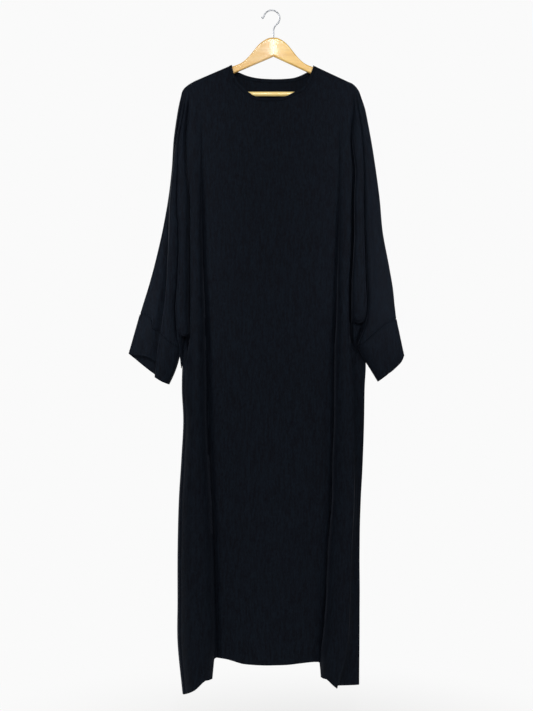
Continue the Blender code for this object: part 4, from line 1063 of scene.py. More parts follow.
    def lift_shoulders(self):
        """Raise the cloth a little where it rests on the hanger, so that no wood shows through it."""
        tops = {key[1]: point.z for key, point in self.points.items() if key[2] == 0}
        for key, point in list(self.points.items()):
            drop = tops[key[1]] - point.z
            share = ease((abs(point.x) - LIFT_FROM) / LIFT_WIDE) * ease(1.0 - drop / LIFT_DOWN)
            self.points[key] = point + Vector((0, 0, SHOULDER_LIFT * share))

    def part_sheets(self):
        """Ease the back sheet away from the front's deep folds, so that the two walls do not cross."""
        m = self.mark
        room = {}
        for v in range(1, self.hem + 1):
            first, last = (0, m["last"]) if v <= self.under else (m["side_l"], m["side_r"])
            row = [self.points[self.key("front", u, v)] for u in range(first, last + 1)]
            for u in range(first, last + 1):
                key = self.key("back", u, v)
                if key[0] != "back":
                    continue
                point = self.points[key]
                over = [a.y + (b.y - a.y) * (point.x - a.x) / (b.x - a.x) for a, b in zip(row, row[1:])
                        if min(a.x, b.x) <= point.x <= max(a.x, b.x) and a.x != b.x]
                clear = SHEET_ROOM * self.from_seam("back", u, v, point)
                room[key] = max(0.0, max(over, default=-math.inf) + clear - point.y)
        for _ in range(ROOM_PASSES):
            evened = {}
            for (sheet, u, v), value in room.items():
                beside = ((u - 1, v), (u + 1, v), (u, v - 1), (u, v + 1))
                evened[(sheet, u, v)] = max(value, sum(room.get((sheet, *k), 0.0) for k in beside) / 4)
            room = evened
        for key, value in room.items():
            self.points[key] = self.points[key] + Vector((0, value, 0))

    def from_seam(self, sheet, u, v, point):
        """0 at a seam shared with the other sheet, rising to 1 within a few centimetres."""
        m = self.mark
        if v <= self.under:
            ends = (0, m["last"])
        elif u <= m["in_l"]:
            ends = (0, m["in_l"])
        elif u >= m["in_r"]:
            ends = (m["in_r"], m["last"])
        else:
            ends = (m["side_l"], m["side_r"])
        near = min((point - self.points[self.key(sheet, end, v)]).length for end in ends)
        keep = ease(near / SEAM_CALM)
        if not m["neck_l"] < u < m["neck_r"]:
            keep *= ease((self.points[self.key(sheet, u, 0)].z - point.z) / SHOULDER_CALM)
        else:
            keep *= ease((v - self.edge) / NECK_CALM_ROWS)
        beside = UNDERARM_BESIDE
        if (m["in_l"] - beside <= u <= m["side_l"] + beside
                or m["side_r"] - beside <= u <= m["in_r"] + beside):
            keep *= ease(abs(v - self.under) / UNDERARM_CALM_ROWS)
        return keep


# Looks

def linear(code):
    """Linear colour of an sRGB hex code."""
    parts = [int(code[i:i + 2], 16) / 255 for i in (1, 3, 5)]
    return tuple(p / 12.92 if p <= 0.04045 else ((p + 0.055) / 1.055) ** 2.4 for p in parts)


def add_node(tree, kind, inputs=None, **settings):
    """A node with its settings; an input is a value, or a socket to link."""
    made = tree.nodes.new(kind)
    for name, value in settings.items():
        setattr(made, name, value)
    for name, value in (inputs or {}).items():
        if isinstance(value, bpy.types.NodeSocket):
            tree.links.new(value, made.inputs[name])
        else:
            made.inputs[name].default_value = value
    return made


def new_material(name):
    """An empty material with its shader, and the tree to build in."""
    made = bpy.data.materials.new(name)
    made.use_nodes = True
    tree = made.node_tree
    tree.nodes.clear()
    shader = add_node(tree, "ShaderNodeBsdfPrincipled")
    add_node(tree, "ShaderNodeOutputMaterial", {"Surface": shader.outputs["BSDF"]})
    return made, tree, shader


def ramp(tree, factor, stops):
    """A colour ramp of hex colours."""
    made = add_node(tree, "ShaderNodeValToRGB", {"Fac": factor})
    elements = made.color_ramp.elements
    while len(elements) < len(stops):
        elements.new(0.5)
    for element, (place, code) in zip(elements, stops):
        element.position = place
        element.color = (*linear(code), 1.0)
    return made.outputs["Color"]


def crepe_material(name, dark, light, turn=0.0):
    """Polyester crepe, woven from hard-twisted yarn and piece-dyed black: matt, with an uneven pebble."""
    made, tree, shader = new_material(name)
    place = add_node(tree, "ShaderNodeTexCoord").outputs["Object"]
    # The pebble runs a little along the warp: 1.2 mm across, about three times as long
    grain = add_node(tree, "ShaderNodeMapping", {"Vector": place, "Scale": (1.0, 1.0, 0.34),
                                                 "Rotation": (0.0, turn, 0.0)}).outputs["Vector"]
    pebble = add_node(tree, "ShaderNodeTexNoise",
                      {"Vector": grain, "Scale": 1 / 0.0024, "Detail": 3.0, "Roughness": 0.6}).outputs["Fac"]
    # Crinkle of the yarn, drawn at 5 mm because the real 1.5 mm is too fine for the render
    streak = add_node(tree, "ShaderNodeMapping", {"Vector": place, "Scale": (1.0, 1.0, 0.16),
                                                  "Rotation": (0.0, turn, 0.0)}).outputs["Vector"]
    crinkle = add_node(tree, "ShaderNodeTexNoise",
                       {"Vector": streak, "Scale": 1 / 0.005, "Detail": 3.0, "Roughness": 0.6}).outputs["Fac"]
    # Dye takes a little unevenly over a hand's width
    cloud = add_node(tree, "ShaderNodeTexNoise",
                     {"Vector": place, "Scale": 1 / 0.09, "Detail": 2.0, "Roughness": 0.5}).outputs["Fac"]
    # Colour follows the weave's height: darker where the pebble and crinkle lie low, which is painted shade
    # in the weave's hollows, with the faint cloud of uneven dye added
    weave = add_node(tree, "ShaderNodeMath", {0: pebble, 1: crinkle}, operation="ADD").outputs["Value"]
    faint = add_node(tree, "ShaderNodeMath", {0: cloud, 1: 0.05}, operation="MULTIPLY").outputs["Value"]
    weave_shade_and_dye = add_node(tree, "ShaderNodeMath", {0: weave, 1: faint}, operation="ADD").outputs["Value"]
    share = add_node(tree, "ShaderNodeMapRange",
                     {"Value": weave_shade_and_dye, "From Min": 0.82, "From Max": 1.23}).outputs["Result"]
    shade = add_node(tree, "ShaderNodeMix", {"Factor": share}, data_type="RGBA")
    shade.inputs["A"].default_value = (*dark, 1.0)
    shade.inputs["B"].default_value = (*light, 1.0)
    rough = add_node(tree, "ShaderNodeMapRange", {"Value": crinkle, "From Min": 0.25, "From Max": 0.75,
                                                  "To Min": 0.66, "To Max": 0.86}).outputs["Result"]
    low = add_node(tree, "ShaderNodeBump", {"Strength": 0.5, "Distance": 0.0016, "Height": crinkle})
    high = add_node(tree, "ShaderNodeBump", {"Strength": 0.6, "Distance": 0.0006, "Height": pebble,
                                             "Normal": low.outputs["Normal"]})
    tree.links.new([o for o in shade.outputs if o.type == "RGBA"][0], shader.inputs["Base Color"])
    tree.links.new(rough, shader.inputs["Roughness"])
    tree.links.new(high.outputs["Normal"], shader.inputs["Normal"])
    shader.inputs["Specular IOR Level"].default_value = 0.05
    shader.inputs["Sheen Weight"].default_value = 0.07
    shader.inputs["Sheen Roughness"].default_value = 0.35
    shader.inputs["Sheen Tint"].default_value = (*linear("#A8B4D0"), 1.0)
    return made


def thread_material():
    """Black polyester sewing thread, three-ply: a faint gloss along each stitch."""
    made, tree, shader = new_material("black polyester thread")
    place = add_node(tree, "ShaderNodeTexCoord").outputs["Object"]
    ply = add_node(tree, "ShaderNodeTexNoise",
                   {"Vector": place, "Scale": 1 / 0.0005, "Detail": 1.0}).outputs["Fac"]
    colour = ramp(tree, ply, ((0.35, "#07090D"), (0.65, "#0E1117")))
    bump = add_node(tree, "ShaderNodeBump", {"Strength": 0.4, "Distance": 0.0001, "Height": ply})
    tree.links.new(colour, shader.inputs["Base Color"])
    tree.links.new(bump.outputs["Normal"], shader.inputs["Normal"])
    shader.inputs["Roughness"].default_value = 0.6
    shader.inputs["Specular IOR Level"].default_value = 0.06
    return made


def wood_material(name, pale, deep, line, rough):
    """Maple, planed, sanded and varnished clear: warm grain under a thin glossy coat."""
    made, tree, shader = new_material(name)
    place = add_node(tree, "ShaderNodeTexCoord").outputs["Object"]
    # Growth rings are about 4.5 mm apart and run the length of the piece, with slow waves
    stretched = add_node(tree, "ShaderNodeMapping",
                         {"Vector": place, "Scale": (0.07, 1.0, 1.0)}).outputs["Vector"]
    wander = add_node(tree, "ShaderNodeTexNoise",
                      {"Vector": stretched, "Scale": 1 / 0.03, "Detail": 2.0, "Roughness": 0.5})
    moved = add_node(tree, "ShaderNodeVectorMath", {0: wander.outputs["Color"], "Scale": 0.012},
                     operation="SCALE")
    bent = add_node(tree, "ShaderNodeVectorMath", {0: stretched, 1: moved.outputs["Vector"]},
                    operation="ADD").outputs["Vector"]
    rings = add_node(tree, "ShaderNodeTexNoise",
                     {"Vector": bent, "Scale": 1 / 0.0045, "Detail": 2.0, "Roughness": 0.55}).outputs["Fac"]
    # Fibres are 0.8 mm across and some 30 times as long
    drawn = add_node(tree, "ShaderNodeMapping",
                     {"Vector": place, "Scale": (0.03, 1.0, 1.0)}).outputs["Vector"]
    fibre = add_node(tree, "ShaderNodeTexNoise",
                     {"Vector": drawn, "Scale": 1 / 0.0008, "Detail": 3.0, "Roughness": 0.7}).outputs["Fac"]
    cloud = add_node(tree, "ShaderNodeTexNoise",
                     {"Vector": stretched, "Scale": 1 / 0.02, "Detail": 1.0}).outputs["Fac"]
    base = ramp(tree, cloud, ((0.35, pale), (0.7, deep)))
    grain = add_node(tree, "ShaderNodeMapRange", {"Value": rings, "From Min": 0.56, "From Max": 0.72,
                                                  "To Min": 0.0, "To Max": 0.22}).outputs["Result"]
    shade = add_node(tree, "ShaderNodeMix", {"Factor": grain}, data_type="RGBA")
    under, over = [i for i in shade.inputs if i.type == "RGBA"]
    tree.links.new(base, under)
    over.default_value = (*linear(line), 1.0)
    fine = add_node(tree, "ShaderNodeMapRange", {"Value": fibre, "From Min": 0.3, "From Max": 0.7,
                                                 "To Min": 0.9, "To Max": 1.04}).outputs["Result"]
    coloured = [o for o in shade.outputs if o.type == "RGBA"][0]
    whole = add_node(tree, "ShaderNodeVectorMath", {0: coloured, "Scale": fine}, operation="SCALE")
    bump = add_node(tree, "ShaderNodeBump", {"Strength": 0.1, "Distance": 0.00002, "Height": fibre})
    tree.links.new(whole.outputs["Vector"], shader.inputs["Base Color"])
    tree.links.new(bump.outputs["Normal"], shader.inputs["Normal"])
    shader.inputs["Roughness"].default_value = rough
    shader.inputs["Specular IOR Level"].default_value = 0.3
    shader.inputs["Coat Weight"].default_value = 0.7
    shader.inputs["Coat Roughness"].default_value = 0.12
    return made


def chrome_material():
    """Steel wire, bent and chrome-plated: bright, with faint draw marks along the wire."""
    made, tree, shader = new_material("chrome-plated steel wire")
    place = add_node(tree, "ShaderNodeTexCoord").outputs["Object"]
    marks = add_node(tree, "ShaderNodeTexNoise",
                     {"Vector": place, "Scale": 1 / 0.0004, "Detail": 2.0, "Roughness": 0.6}).outputs["Fac"]
    colour = ramp(tree, marks, ((0.3, "#9A9DA2"), (0.7, "#B4B7BC")))
    rough = add_node(tree, "ShaderNodeMapRange", {"Value": marks, "From Min": 0.3, "From Max": 0.7,
                                                  "To Min": 0.34, "To Max": 0.44}).outputs["Result"]
    tree.links.new(colour, shader.inputs["Base Color"])
    tree.links.new(rough, shader.inputs["Roughness"])
    shader.inputs["Metallic"].default_value = 1.0
    return made


def floor_material(colour, wall):
    """Matt painted floor that turns into the plain surroundings with distance."""
    made, tree, shader = new_material("matt pale floor")
    place = add_node(tree, "ShaderNodeTexCoord").outputs["Object"]
    speck = add_node(tree, "ShaderNodeTexNoise",
                     {"Vector": place, "Scale": 300.0, "Detail": 2.0}).outputs["Fac"]
    bump = add_node(tree, "ShaderNodeBump", {"Strength": 0.05, "Distance": 0.0005, "Height": speck})
    shader.inputs["Base Color"].default_value = (*colour, 1.0)
    shader.inputs["Roughness"].default_value = 0.9
    shader.inputs["Specular IOR Level"].default_value = 0.1
    tree.links.new(bump.outputs["Normal"], shader.inputs["Normal"])
    glow = add_node(tree, "ShaderNodeEmission", {"Color": (*wall, 1.0), "Strength": 1.0})
    # Distance from under the garment, measured flat on the floor
    flat = add_node(tree, "ShaderNodeVectorMath", {0: place, 1: (1.0, 1.0, 0.0)}, operation="MULTIPLY")
    length = add_node(tree, "ShaderNodeVectorMath", {0: flat.outputs["Vector"]}, operation="LENGTH")
    far = add_node(tree, "ShaderNodeMapRange",
                   {"Value": length.outputs["Value"], "From Min": 0.2, "From Max": 1.3, "To Min": 0.5},
                   interpolation_type="SMOOTHSTEP")
    blend = add_node(tree, "ShaderNodeMixShader", {"Fac": far.outputs["Result"]})
    tree.links.new(shader.outputs["BSDF"], blend.inputs[1])
    tree.links.new(glow.outputs["Emission"], blend.inputs[2])
    output = [n for n in tree.nodes if n.type == "OUTPUT_MATERIAL"][0]
    tree.links.new(blend.outputs["Shader"], output.inputs["Surface"])
    return made


# Making pieces

# Angle from which an edge shows as a corner: on cloth, and on the hanger
CLOTH_CORNER = 48
HARD_CORNER = 40


def add_object(name, data):
    """An object in the scene for a mesh, curve, light or camera."""
    made = bpy.data.objects.new(name, data)
    bpy.context.scene.collection.objects.link(made)
    return made


def add_mesh(name, vertices, edges=(), faces=()):
    """An object of plain vertices, edges and faces."""
    mesh = bpy.data.meshes.new(name)
    mesh.from_pydata([tuple(v) for v in vertices], edges, faces)
    return add_object(name, mesh)


def finish_mesh(mesh, made, corner):
    """Give a mesh its one material and smooth shading, with corners from an angle in degrees."""
    mesh.materials.clear()
    mesh.materials.append(made)
    mesh.shade_smooth()
    mesh.set_sharp_from_angle(angle=math.radians(corner))


def baked(piece, name, made):
    """A plain mesh of what a modifier or curve makes, in place of the piece itself."""
    depsgraph = bpy.context.evaluated_depsgraph_get()
    mesh = bpy.data.meshes.new_from_object(piece.evaluated_get(depsgraph))
    mesh.name = name
    finish_mesh(mesh, made, HARD_CORNER)
    bpy.data.objects.remove(piece, do_unlink=True)
    return add_object(name, mesh)


def hung(piece, node):
    """Let a piece ride with the garment in place of its plain solid."""
    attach(piece, "root")
    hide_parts(node)
    return piece


# What is made once and used by later pieces
MADE = {}


def garment():
    """The garment's middle surface, made once for all its pieces."""
    if "cloth" not in MADE:
        settings = bpy.context.scene.abaya_cloth
        cloth = Cloth()
        cloth.shape(settings.crease, settings.ripple / MM)
        MADE["cloth"] = cloth
    return MADE["cloth"]


def crepe():
    """The crepe of the body and cuffs, made once."""
    if "crepe" not in MADE:
        settings = bpy.context.scene.abaya_cloth
        MADE["crepe"] = crepe_material("black polyester crepe", settings.dark, settings.light)
    return MADE["crepe"]


def cloth_piece(name, node, outer=0.0, made=None):
    """One cut piece as a thin closed wall in place of its plain solid."""
    half = bpy.context.scene.abaya_cloth.wall / 2 / MM
    vertices, faces = garment().wall(node, half + outer, half)
    piece = add_mesh(name, vertices, faces=faces)
    piece.data.validate()
    finish_mesh(piece.data, made or crepe(), CLOTH_CORNER)
    return hung(piece, node)


def stitch_tree():
    """Geometry nodes that lay stitches end to end along a path."""
    tree = bpy.data.node_groups.new("stitches along a seam", "GeometryNodeTree")
    face = tree.interface
    face.new_socket("Path", in_out="INPUT", socket_type="NodeSocketGeometry")
    for name in ("Stitch pitch", "Stitch length", "Thread thickness"):
        face.new_socket(name, in_out="INPUT", socket_type="NodeSocketFloat")
    face.new_socket("Unevenness seed", in_out="INPUT", socket_type="NodeSocketInt")
    face.new_socket("Thread", in_out="INPUT", socket_type="NodeSocketMaterial")
    face.new_socket("Stitches", in_out="OUTPUT", socket_type="NodeSocketGeometry")
    given = add_node(tree, "NodeGroupInput").outputs
    line = add_node(tree, "GeometryNodeMeshToCurve", {"Mesh": given["Path"]}).outputs["Curve"]
    spaced = add_node(tree, "GeometryNodeResampleCurve", {"Curve": line, "Length": given["Stitch pitch"]},
                      mode="LENGTH")
    tangent = add_node(tree, "GeometryNodeInputTangent").outputs["Tangent"]
    turned = add_node(tree, "FunctionNodeAlignRotationToVector", {"Vector": tangent}, axis="X")
    ball = add_node(tree, "GeometryNodeMeshUVSphere", {"Segments": 6, "Rings": 4, "Radius": 0.5})
    thick = given["Thread thickness"]
    size = add_node(tree, "ShaderNodeCombineXYZ",
                    {"X": given["Stitch length"], "Y": thick, "Z": thick}).outputs["Vector"]
    uneven = add_node(tree, "FunctionNodeRandomValue", {"Seed": given["Unevenness seed"]}, data_type="FLOAT")
    uneven.inputs[2].default_value = 0.86
    uneven.inputs[3].default_value = 1.08
    scaled = add_node(tree, "ShaderNodeVectorMath", {0: size, "Scale": uneven.outputs[1]}, operation="SCALE")
    placed = add_node(tree, "GeometryNodeInstanceOnPoints",
                      {"Points": spaced.outputs["Curve"], "Instance": ball.outputs["Mesh"],
                       "Rotation": turned.outputs["Rotation"], "Scale": scaled.outputs["Vector"]})
    real = add_node(tree, "GeometryNodeRealizeInstances", {"Geometry": placed.outputs["Instances"]})
    done = add_node(tree, "GeometryNodeSetMaterial",
                    {"Geometry": real.outputs["Geometry"], "Material": given["Thread"]})
    add_node(tree, "NodeGroupOutput", {"Stitches": done.outputs["Geometry"]})
    return tree


def stitched(name, lines):
    """Rows of stitches along lines of points, as one plain mesh."""
    settings = bpy.context.scene.abaya_stitching
    if "stitch_tree" not in MADE:
        MADE["stitch_tree"] = stitch_tree()
        MADE["thread"] = thread_material()
    tree = MADE["stitch_tree"]
    vertices, edges = [], []
    for line in lines:
        first = len(vertices)
        vertices += [p * MM for p in line]
        edges += [(first + i, first + i + 1) for i in range(len(line) - 1)]
    path = add_mesh(name + "_path", vertices, edges)
    along = path.modifiers.new("stitches", "NODES")
    along.node_group = tree
    values = {"Stitch pitch": settings.pitch, "Stitch length": settings.length,
              "Thread thickness": settings.thickness, "Unevenness seed": 7, "Thread": MADE["thread"]}
    for item in tree.interface.items_tree:
        if item.name in values:
            along[item.identifier] = values[item.name]
    piece = baked(path, name, MADE["thread"])
    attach(piece, "root")
    return piece


# Hanger

def arm_ring(top, bottom, middle, x):
    """One upright cut through an arm: round top edge, softly rounded lower edges."""
    half = ARM_THICK / 2
    ring = []
    for k in range(ARM_TOP_STEPS + 1):
        angle = math.pi * k / ARM_TOP_STEPS
        ring.append(Vector((x, middle + half * math.cos(angle), top - half + half * math.sin(angle))))
    low = min(bottom, top - half - 1.0)
    radius = min(ARM_LOWER_RADIUS, top - half - low)
    high = ring[-1].z
    flat = (0.03, 0.1, 0.3, 0.5, 0.7, 0.9, 0.97)
    ring += [Vector((x, middle - half, mix(high, low + radius, share))) for share in flat]
    for side, turns in ((-1, range(ARM_LOWER_STEPS + 1)), (1, range(ARM_LOWER_STEPS, -1, -1))):
        for k in turns:
            angle = math.pi / 2 * k / ARM_LOWER_STEPS
            ring.append(Vector((x, middle + side * (half - radius + radius * math.cos(angle)),
                                low + radius - radius * math.sin(angle))))
    ring += [Vector((x, middle + half, mix(high, low + radius, share))) for share in flat[::-1]]
    return ring


def along_arm(place, side):
    """Across place of a distance from the hanger's middle, which is told on the left arm's scale."""
    direction, length = ARMS[side]
    return HANGER_X + direction * place * length / ARM_LEFT


def arm_mesh(name, side):
    """One curved wooden arm, from the joint in the middle to its round tip."""
    direction = ARMS[side][0]
    places = [ARM_JOINT_GAP / 2] + [3.0 * k for k in range(1, 64)] + [192 + 1.5 * k for k in range(12)]
    rings = []
    for place in places + [210.0]:
        x = along_arm(place, side)
        squeeze = math.sqrt(max(0.0, 1 - (max(0.0, place - ARM_TIP_FROM) / ARM_TIP_LONG) ** 2))
        middle = sweep(x)
        rings.append([Vector((p.x, middle + (p.y - middle) * squeeze, p.z))
                      for p in arm_ring(wood_edge(x, 1), wood_edge(x, 2), middle, x)])
    count = len(rings[0])
    vertices = [p * MM for ring in rings for p in ring]
    faces = []
    for r in range(len(rings) - 1):
        for k in range(count):
            a, b = r * count + k, r * count + (k + 1) % count
            quad = [a, b, b + count, a + count]
            faces.append(quad if direction < 0 else quad[::-1])
    first = list(range(count))
    last = [len(vertices) - count + k for k in range(count)]
    faces.append(first[::-1] if direction < 0 else first)
    faces.append(last if direction < 0 else last[::-1])
    return add_mesh(name, vertices, faces=faces)


def turned_mesh(name, rings, axis, sides=48):
    """Closed turned rod: rings of centre and radius along X or Z."""
    vertices, faces = [], []
    for centre, radius in rings:
        for k in range(sides):
            angle = 2 * math.pi * (k + 0.5) / sides
            across, up = radius * math.cos(angle), radius * math.sin(angle)
            offset = Vector((0, across, up)) if axis == "X" else Vector((across, up, 0))
            vertices.append((centre + offset) * MM)
    for r in range(len(rings) - 1):
        for k in range(sides):
            a, b = r * sides + k, r * sides + (k + 1) % sides
            faces.append([a, b, b + sides, a + sides])
    faces.append(list(range(sides))[::-1])
    faces.append(list(range(len(vertices) - sides, len(vertices))))
    return add_mesh(name, vertices, faces=faces)


def drilled(piece, name, holes, made):
    """The piece with round holes cut by boolean, as a plain mesh."""
    cutters = []
    for k, (start, end, diameter, axis) in enumerate(holes):
        cutter = turned_mesh("%s_drill_%d" % (name, k), ((start, diameter / 2), (end, diameter / 2)), axis)
        cut = piece.modifiers.new("drill", "BOOLEAN")
        cut.operation = "DIFFERENCE"
        cut.solver = "EXACT"
        cut.object = cutter
        cutters.append(cutter)
    result = baked(piece, name, made)
    for cutter in cutters:
        bpy.data.objects.remove(cutter, do_unlink=True)
    return result


def hook_path():
    """Middle line of the hook's wire, from its free tip over the rail's place and down the stem."""
    centre = -(HOOK_RADIUS - WIRE_DIAMETER / 2)
    points = [Vector((-25.5, 0, centre + 3.2)), Vector((-22.0, 0, centre + 0.2))]
    for degrees in range(165, -56, -20):
        angle = math.radians(degrees)
        points.append(Vector((HOOK_RADIUS * math.cos(angle), 0, centre + HOOK_RADIUS * math.sin(angle))))
    points += [Vector((6.4, 0, -40.5)), Vector((4.8, 0, -46.0)), Vector((HANGER_X, 0, -52.0)),
               Vector((HANGER_X, 0, STEM_END))]
    return curve_points(points, [6] * (len(points) - 2) + [8])


# Stage

# The camera's place, in metres; its distance is a setting
CAMERA_X = -0.0128
CAMERA_Z = -0.8509

# Floor: radius in metres, sides of its round edge
FLOOR_RADIUS = 2.0
FLOOR_SIDES = 96

# Lights: name, place, width and height in metres, share of the key light's power
LIGHTS = (
    ("key light", (-0.9, -2.8, 0.6), 1.2, 1.2, 1.0),
    ("fill light", (1.0, -2.8, 0.1), 1.2, 1.2, 0.45),
    ("window", (0.02, -2.8, 0.65), 0.13, 1.2, 0.75),
    ("left strip", (-0.75, -0.5, -0.46), 0.2, 0.8, 0.019),
    ("right strip", (0.75, -0.5, -0.42), 0.2, 0.8, 0.021),
    ("back light", (-2.2, 1.7, 0.2), 0.9, 1.8, 1.8),
)

# What the lights aim at. A strip has a grid of some degrees and aims at the sleeve beside it
LIGHTS_AIM = (0.0, 0.0, -0.8)
STRIP_AIM = 0.45
STRIP_SPREAD = 30


def room_world(colour):
    """An even pale room for the eye, whose light comes more from the wall behind than from the front."""
    world = bpy.data.worlds.new("pale surroundings")
    world.use_nodes = True
    tree = world.node_tree
    tree.nodes.clear()
    facing = add_node(tree, "ShaderNodeSeparateXYZ",
                      {"Vector": add_node(tree, "ShaderNodeTexCoord").outputs["Generated"]})
    behind = add_node(tree, "ShaderNodeMapRange",
                      {"Value": facing.outputs["Y"], "From Min": 0.1, "From Max": 0.8,
                       "To Min": 0.3, "To Max": 0.6}).outputs["Result"]
    above = add_node(tree, "ShaderNodeMapRange",
                     {"Value": facing.outputs["Z"], "From Min": -0.7, "From Max": 0.5,
                      "To Min": 0.75, "To Max": 1.0}).outputs["Result"]
    light = add_node(tree, "ShaderNodeMath", {0: behind, 1: above}, operation="MULTIPLY").outputs["Value"]
    seen = add_node(tree, "ShaderNodeLightPath").outputs["Is Camera Ray"]
    strength = add_node(tree, "ShaderNodeMath", {0: light, 1: seen}, operation="MAXIMUM").outputs["Value"]
    glow = add_node(tree, "ShaderNodeBackground", {"Color": (*colour, 1.0), "Strength": strength})
    add_node(tree, "ShaderNodeOutputWorld", {"Surface": glow.outputs["Background"]})
    return world


# Values a user would change

class AbayaClothSettings(bpy.types.PropertyGroup):
    """Sizes and colours of the crepe."""
    wall: FloatProperty(name="Cloth thickness", description="Thickness of the crepe as drawn",
                        default=0.001, min=0.0006, max=0.0016, unit="LENGTH")
    binding: FloatProperty(name="Binding thickness",
                           description="How far the neck binding stands above the crepe",
                           default=0.0005, min=0.0, max=0.001, unit="LENGTH")
    crease: FloatProperty(name="Crease depth", description="Share of the depth of the creases laid by hand",
                          default=1.0, min=0.0, max=1.5, subtype="FACTOR")
    ripple: FloatProperty(name="Ripple", description="Height of the cloth's slow unevenness",
                          default=0.0006, min=0.0, max=0.004, unit="LENGTH")
    # The crepe runs from deep black, painted shade in the weave's hollows, to soft black on the weave's tops
    dark: FloatVectorProperty(name="Deep black", description="Colour in the hollows of the weave",
                              default=linear("#070910"), size=3, min=0.0, max=1.0, subtype="COLOR")
    light: FloatVectorProperty(name="Soft black", description="Colour on top of the weave",
                               default=linear("#0F151D"), size=3, min=0.0, max=1.0, subtype="COLOR")


class AbayaStitchSettings(bpy.types.PropertyGroup):
    """Sizes of the sewing."""
    pitch: FloatProperty(name="Stitch pitch", description="From one stitch to the next",
                         default=0.0036, min=0.002, max=0.008, unit="LENGTH")
    length: FloatProperty(name="Stitch length", description="Length of one stitch",
                          default=0.0031, min=0.001, max=0.006, unit="LENGTH")
    thickness: FloatProperty(name="Thread thickness", description="Thickness of the thread",
                             default=0.0005, min=0.0002, max=0.001, unit="LENGTH")
    hem: FloatProperty(name="Hem depth", description="From the hem's edge up to its stitches",
                       default=0.025, min=0.01, max=0.05, unit="LENGTH")


class AbayaHangerSettings(bpy.types.PropertyGroup):
    """Finish of the hanger."""
    segments: IntProperty(name="Wire sides", description="Smoothness of the hook's round wire",
                          default=6, min=3, max=12)
    shine: FloatProperty(name="Wood roughness", description="Roughness of the wood under its varnish",
                         default=0.42, min=0.1, max=0.9, subtype="FACTOR")


class AbayaStageSettings(bpy.types.PropertyGroup):
    """Camera, light and floor."""
    distance: FloatProperty(name="Camera distance", description="From the camera to the garment's middle",
                            default=2.8, min=1.0, max=6.0, unit="LENGTH")
    lens: FloatProperty(name="Lens", description="Focal length on a 36 mm high frame",
                        default=57.4, min=20.0, max=120.0, unit="CAMERA")
    floor: FloatProperty(name="Floor height", description="Height of the floor below the rail",
                         default=-1.95, min=-3.0, max=-1.75, unit="LENGTH")
    surroundings: FloatVectorProperty(name="Surroundings", description="Colour of the pale surroundings",
                                      default=linear("#FAFAFA"), size=3, min=0.0, max=1.0, subtype="COLOR")
    key: FloatProperty(name="Key light", description="Power of the large soft light, in watts",
                       default=27.5, min=0.0, max=200.0)


# Operators

class ABAYA_OT_front(bpy.types.Operator):
    """Front of the abaya, cut in one piece with its sleeves"""
    bl_idname = "abaya.front"
    bl_label = "Front"

    def execute(self, context):
        MADE["front"] = cloth_piece("front_cloth", "front_panel")
        return {"FINISHED"}


class ABAYA_OT_back(bpy.types.Operator):
    """Back of the abaya, cut in one piece with its sleeves"""
    bl_idname = "abaya.back"
    bl_label = "Back"

    def execute(self, context):
        MADE["back"] = cloth_piece("back_cloth", "back_panel")
        return {"FINISHED"}


class ABAYA_OT_cuffs(bpy.types.Operator):
    """The two deep cuffs, each a tube seamed to its sleeve"""
    bl_idname = "abaya.cuffs"
    bl_label = "Cuffs"

    def execute(self, context):
        MADE["cuff_left"] = cloth_piece("cuff_left_cloth", "cuff_left")
        MADE["cuff_right"] = cloth_piece("cuff_right_cloth", "cuff_right")
        return {"FINISHED"}


class ABAYA_OT_binding(bpy.types.Operator):
    """Narrow bias binding round the neck"""
    bl_idname = "abaya.binding"
    bl_label = "Neck binding"

    def execute(self, context):
        settings = context.scene.abaya_cloth
        made = crepe_material("black crepe cut on the bias", settings.dark, settings.light, math.radians(45))
        MADE["binding"] = cloth_piece("neck_binding_cloth", "neck_binding", settings.binding / MM, made)
        return {"FINISHED"}


class ABAYA_OT_stitching(bpy.types.Operator):
    """Stitches of the hem, the cuffs and the neck binding"""
    bl_idname = "abaya.stitching"
    bl_label = "Stitching"

    def execute(self, context):
        cloth = garment()
        settings = context.scene.abaya_cloth
        lift = settings.wall / 2 / MM + STITCH_LIFT
        m = cloth.mark
        hem = context.scene.abaya_stitching.hem / MM
        sewn = {}
        for sheet in ("front", "back"):
            sewn[sheet] = stitched(sheet + "_hem_stitches", [
                cloth.line(sheet, m["side_l"] + 1, m["side_r"] - 1, cloth.hem, -hem, lift)])
        for side, first, last in (("left", 0, m["in_l"]), ("right", m["in_r"], m["last"])):
            lines = []
            for sheet in ("front", "back"):
                lines.append(cloth.line(sheet, first, last, cloth.mouth, -MOUTH_STITCHES, lift))
                lines.append(cloth.line(sheet, first, last, cloth.under, CUFF_STITCHES, lift))
            sewn[side] = stitched("cuff_%s_stitches" % side, lines)
        rise = lift + settings.binding / MM
        sewn["neck"] = stitched("neck_binding_stitches", [
            cloth.line(sheet, m["neck_l"], m["neck_r"], cloth.edge, -NECK_STITCHES, rise)
            for sheet in ("front", "back")])
        MADE["sewn"] = sewn
        return {"FINISHED"}


class ABAYA_OT_declare(bpy.types.Operator):
    """Does nothing: what each sheet of cloth was cut to before it was sewn and hung is not stated"""
    bl_idname = "abaya.declare"
    bl_label = "Cut sizes"

    def execute(self, context):
        return {"FINISHED"}


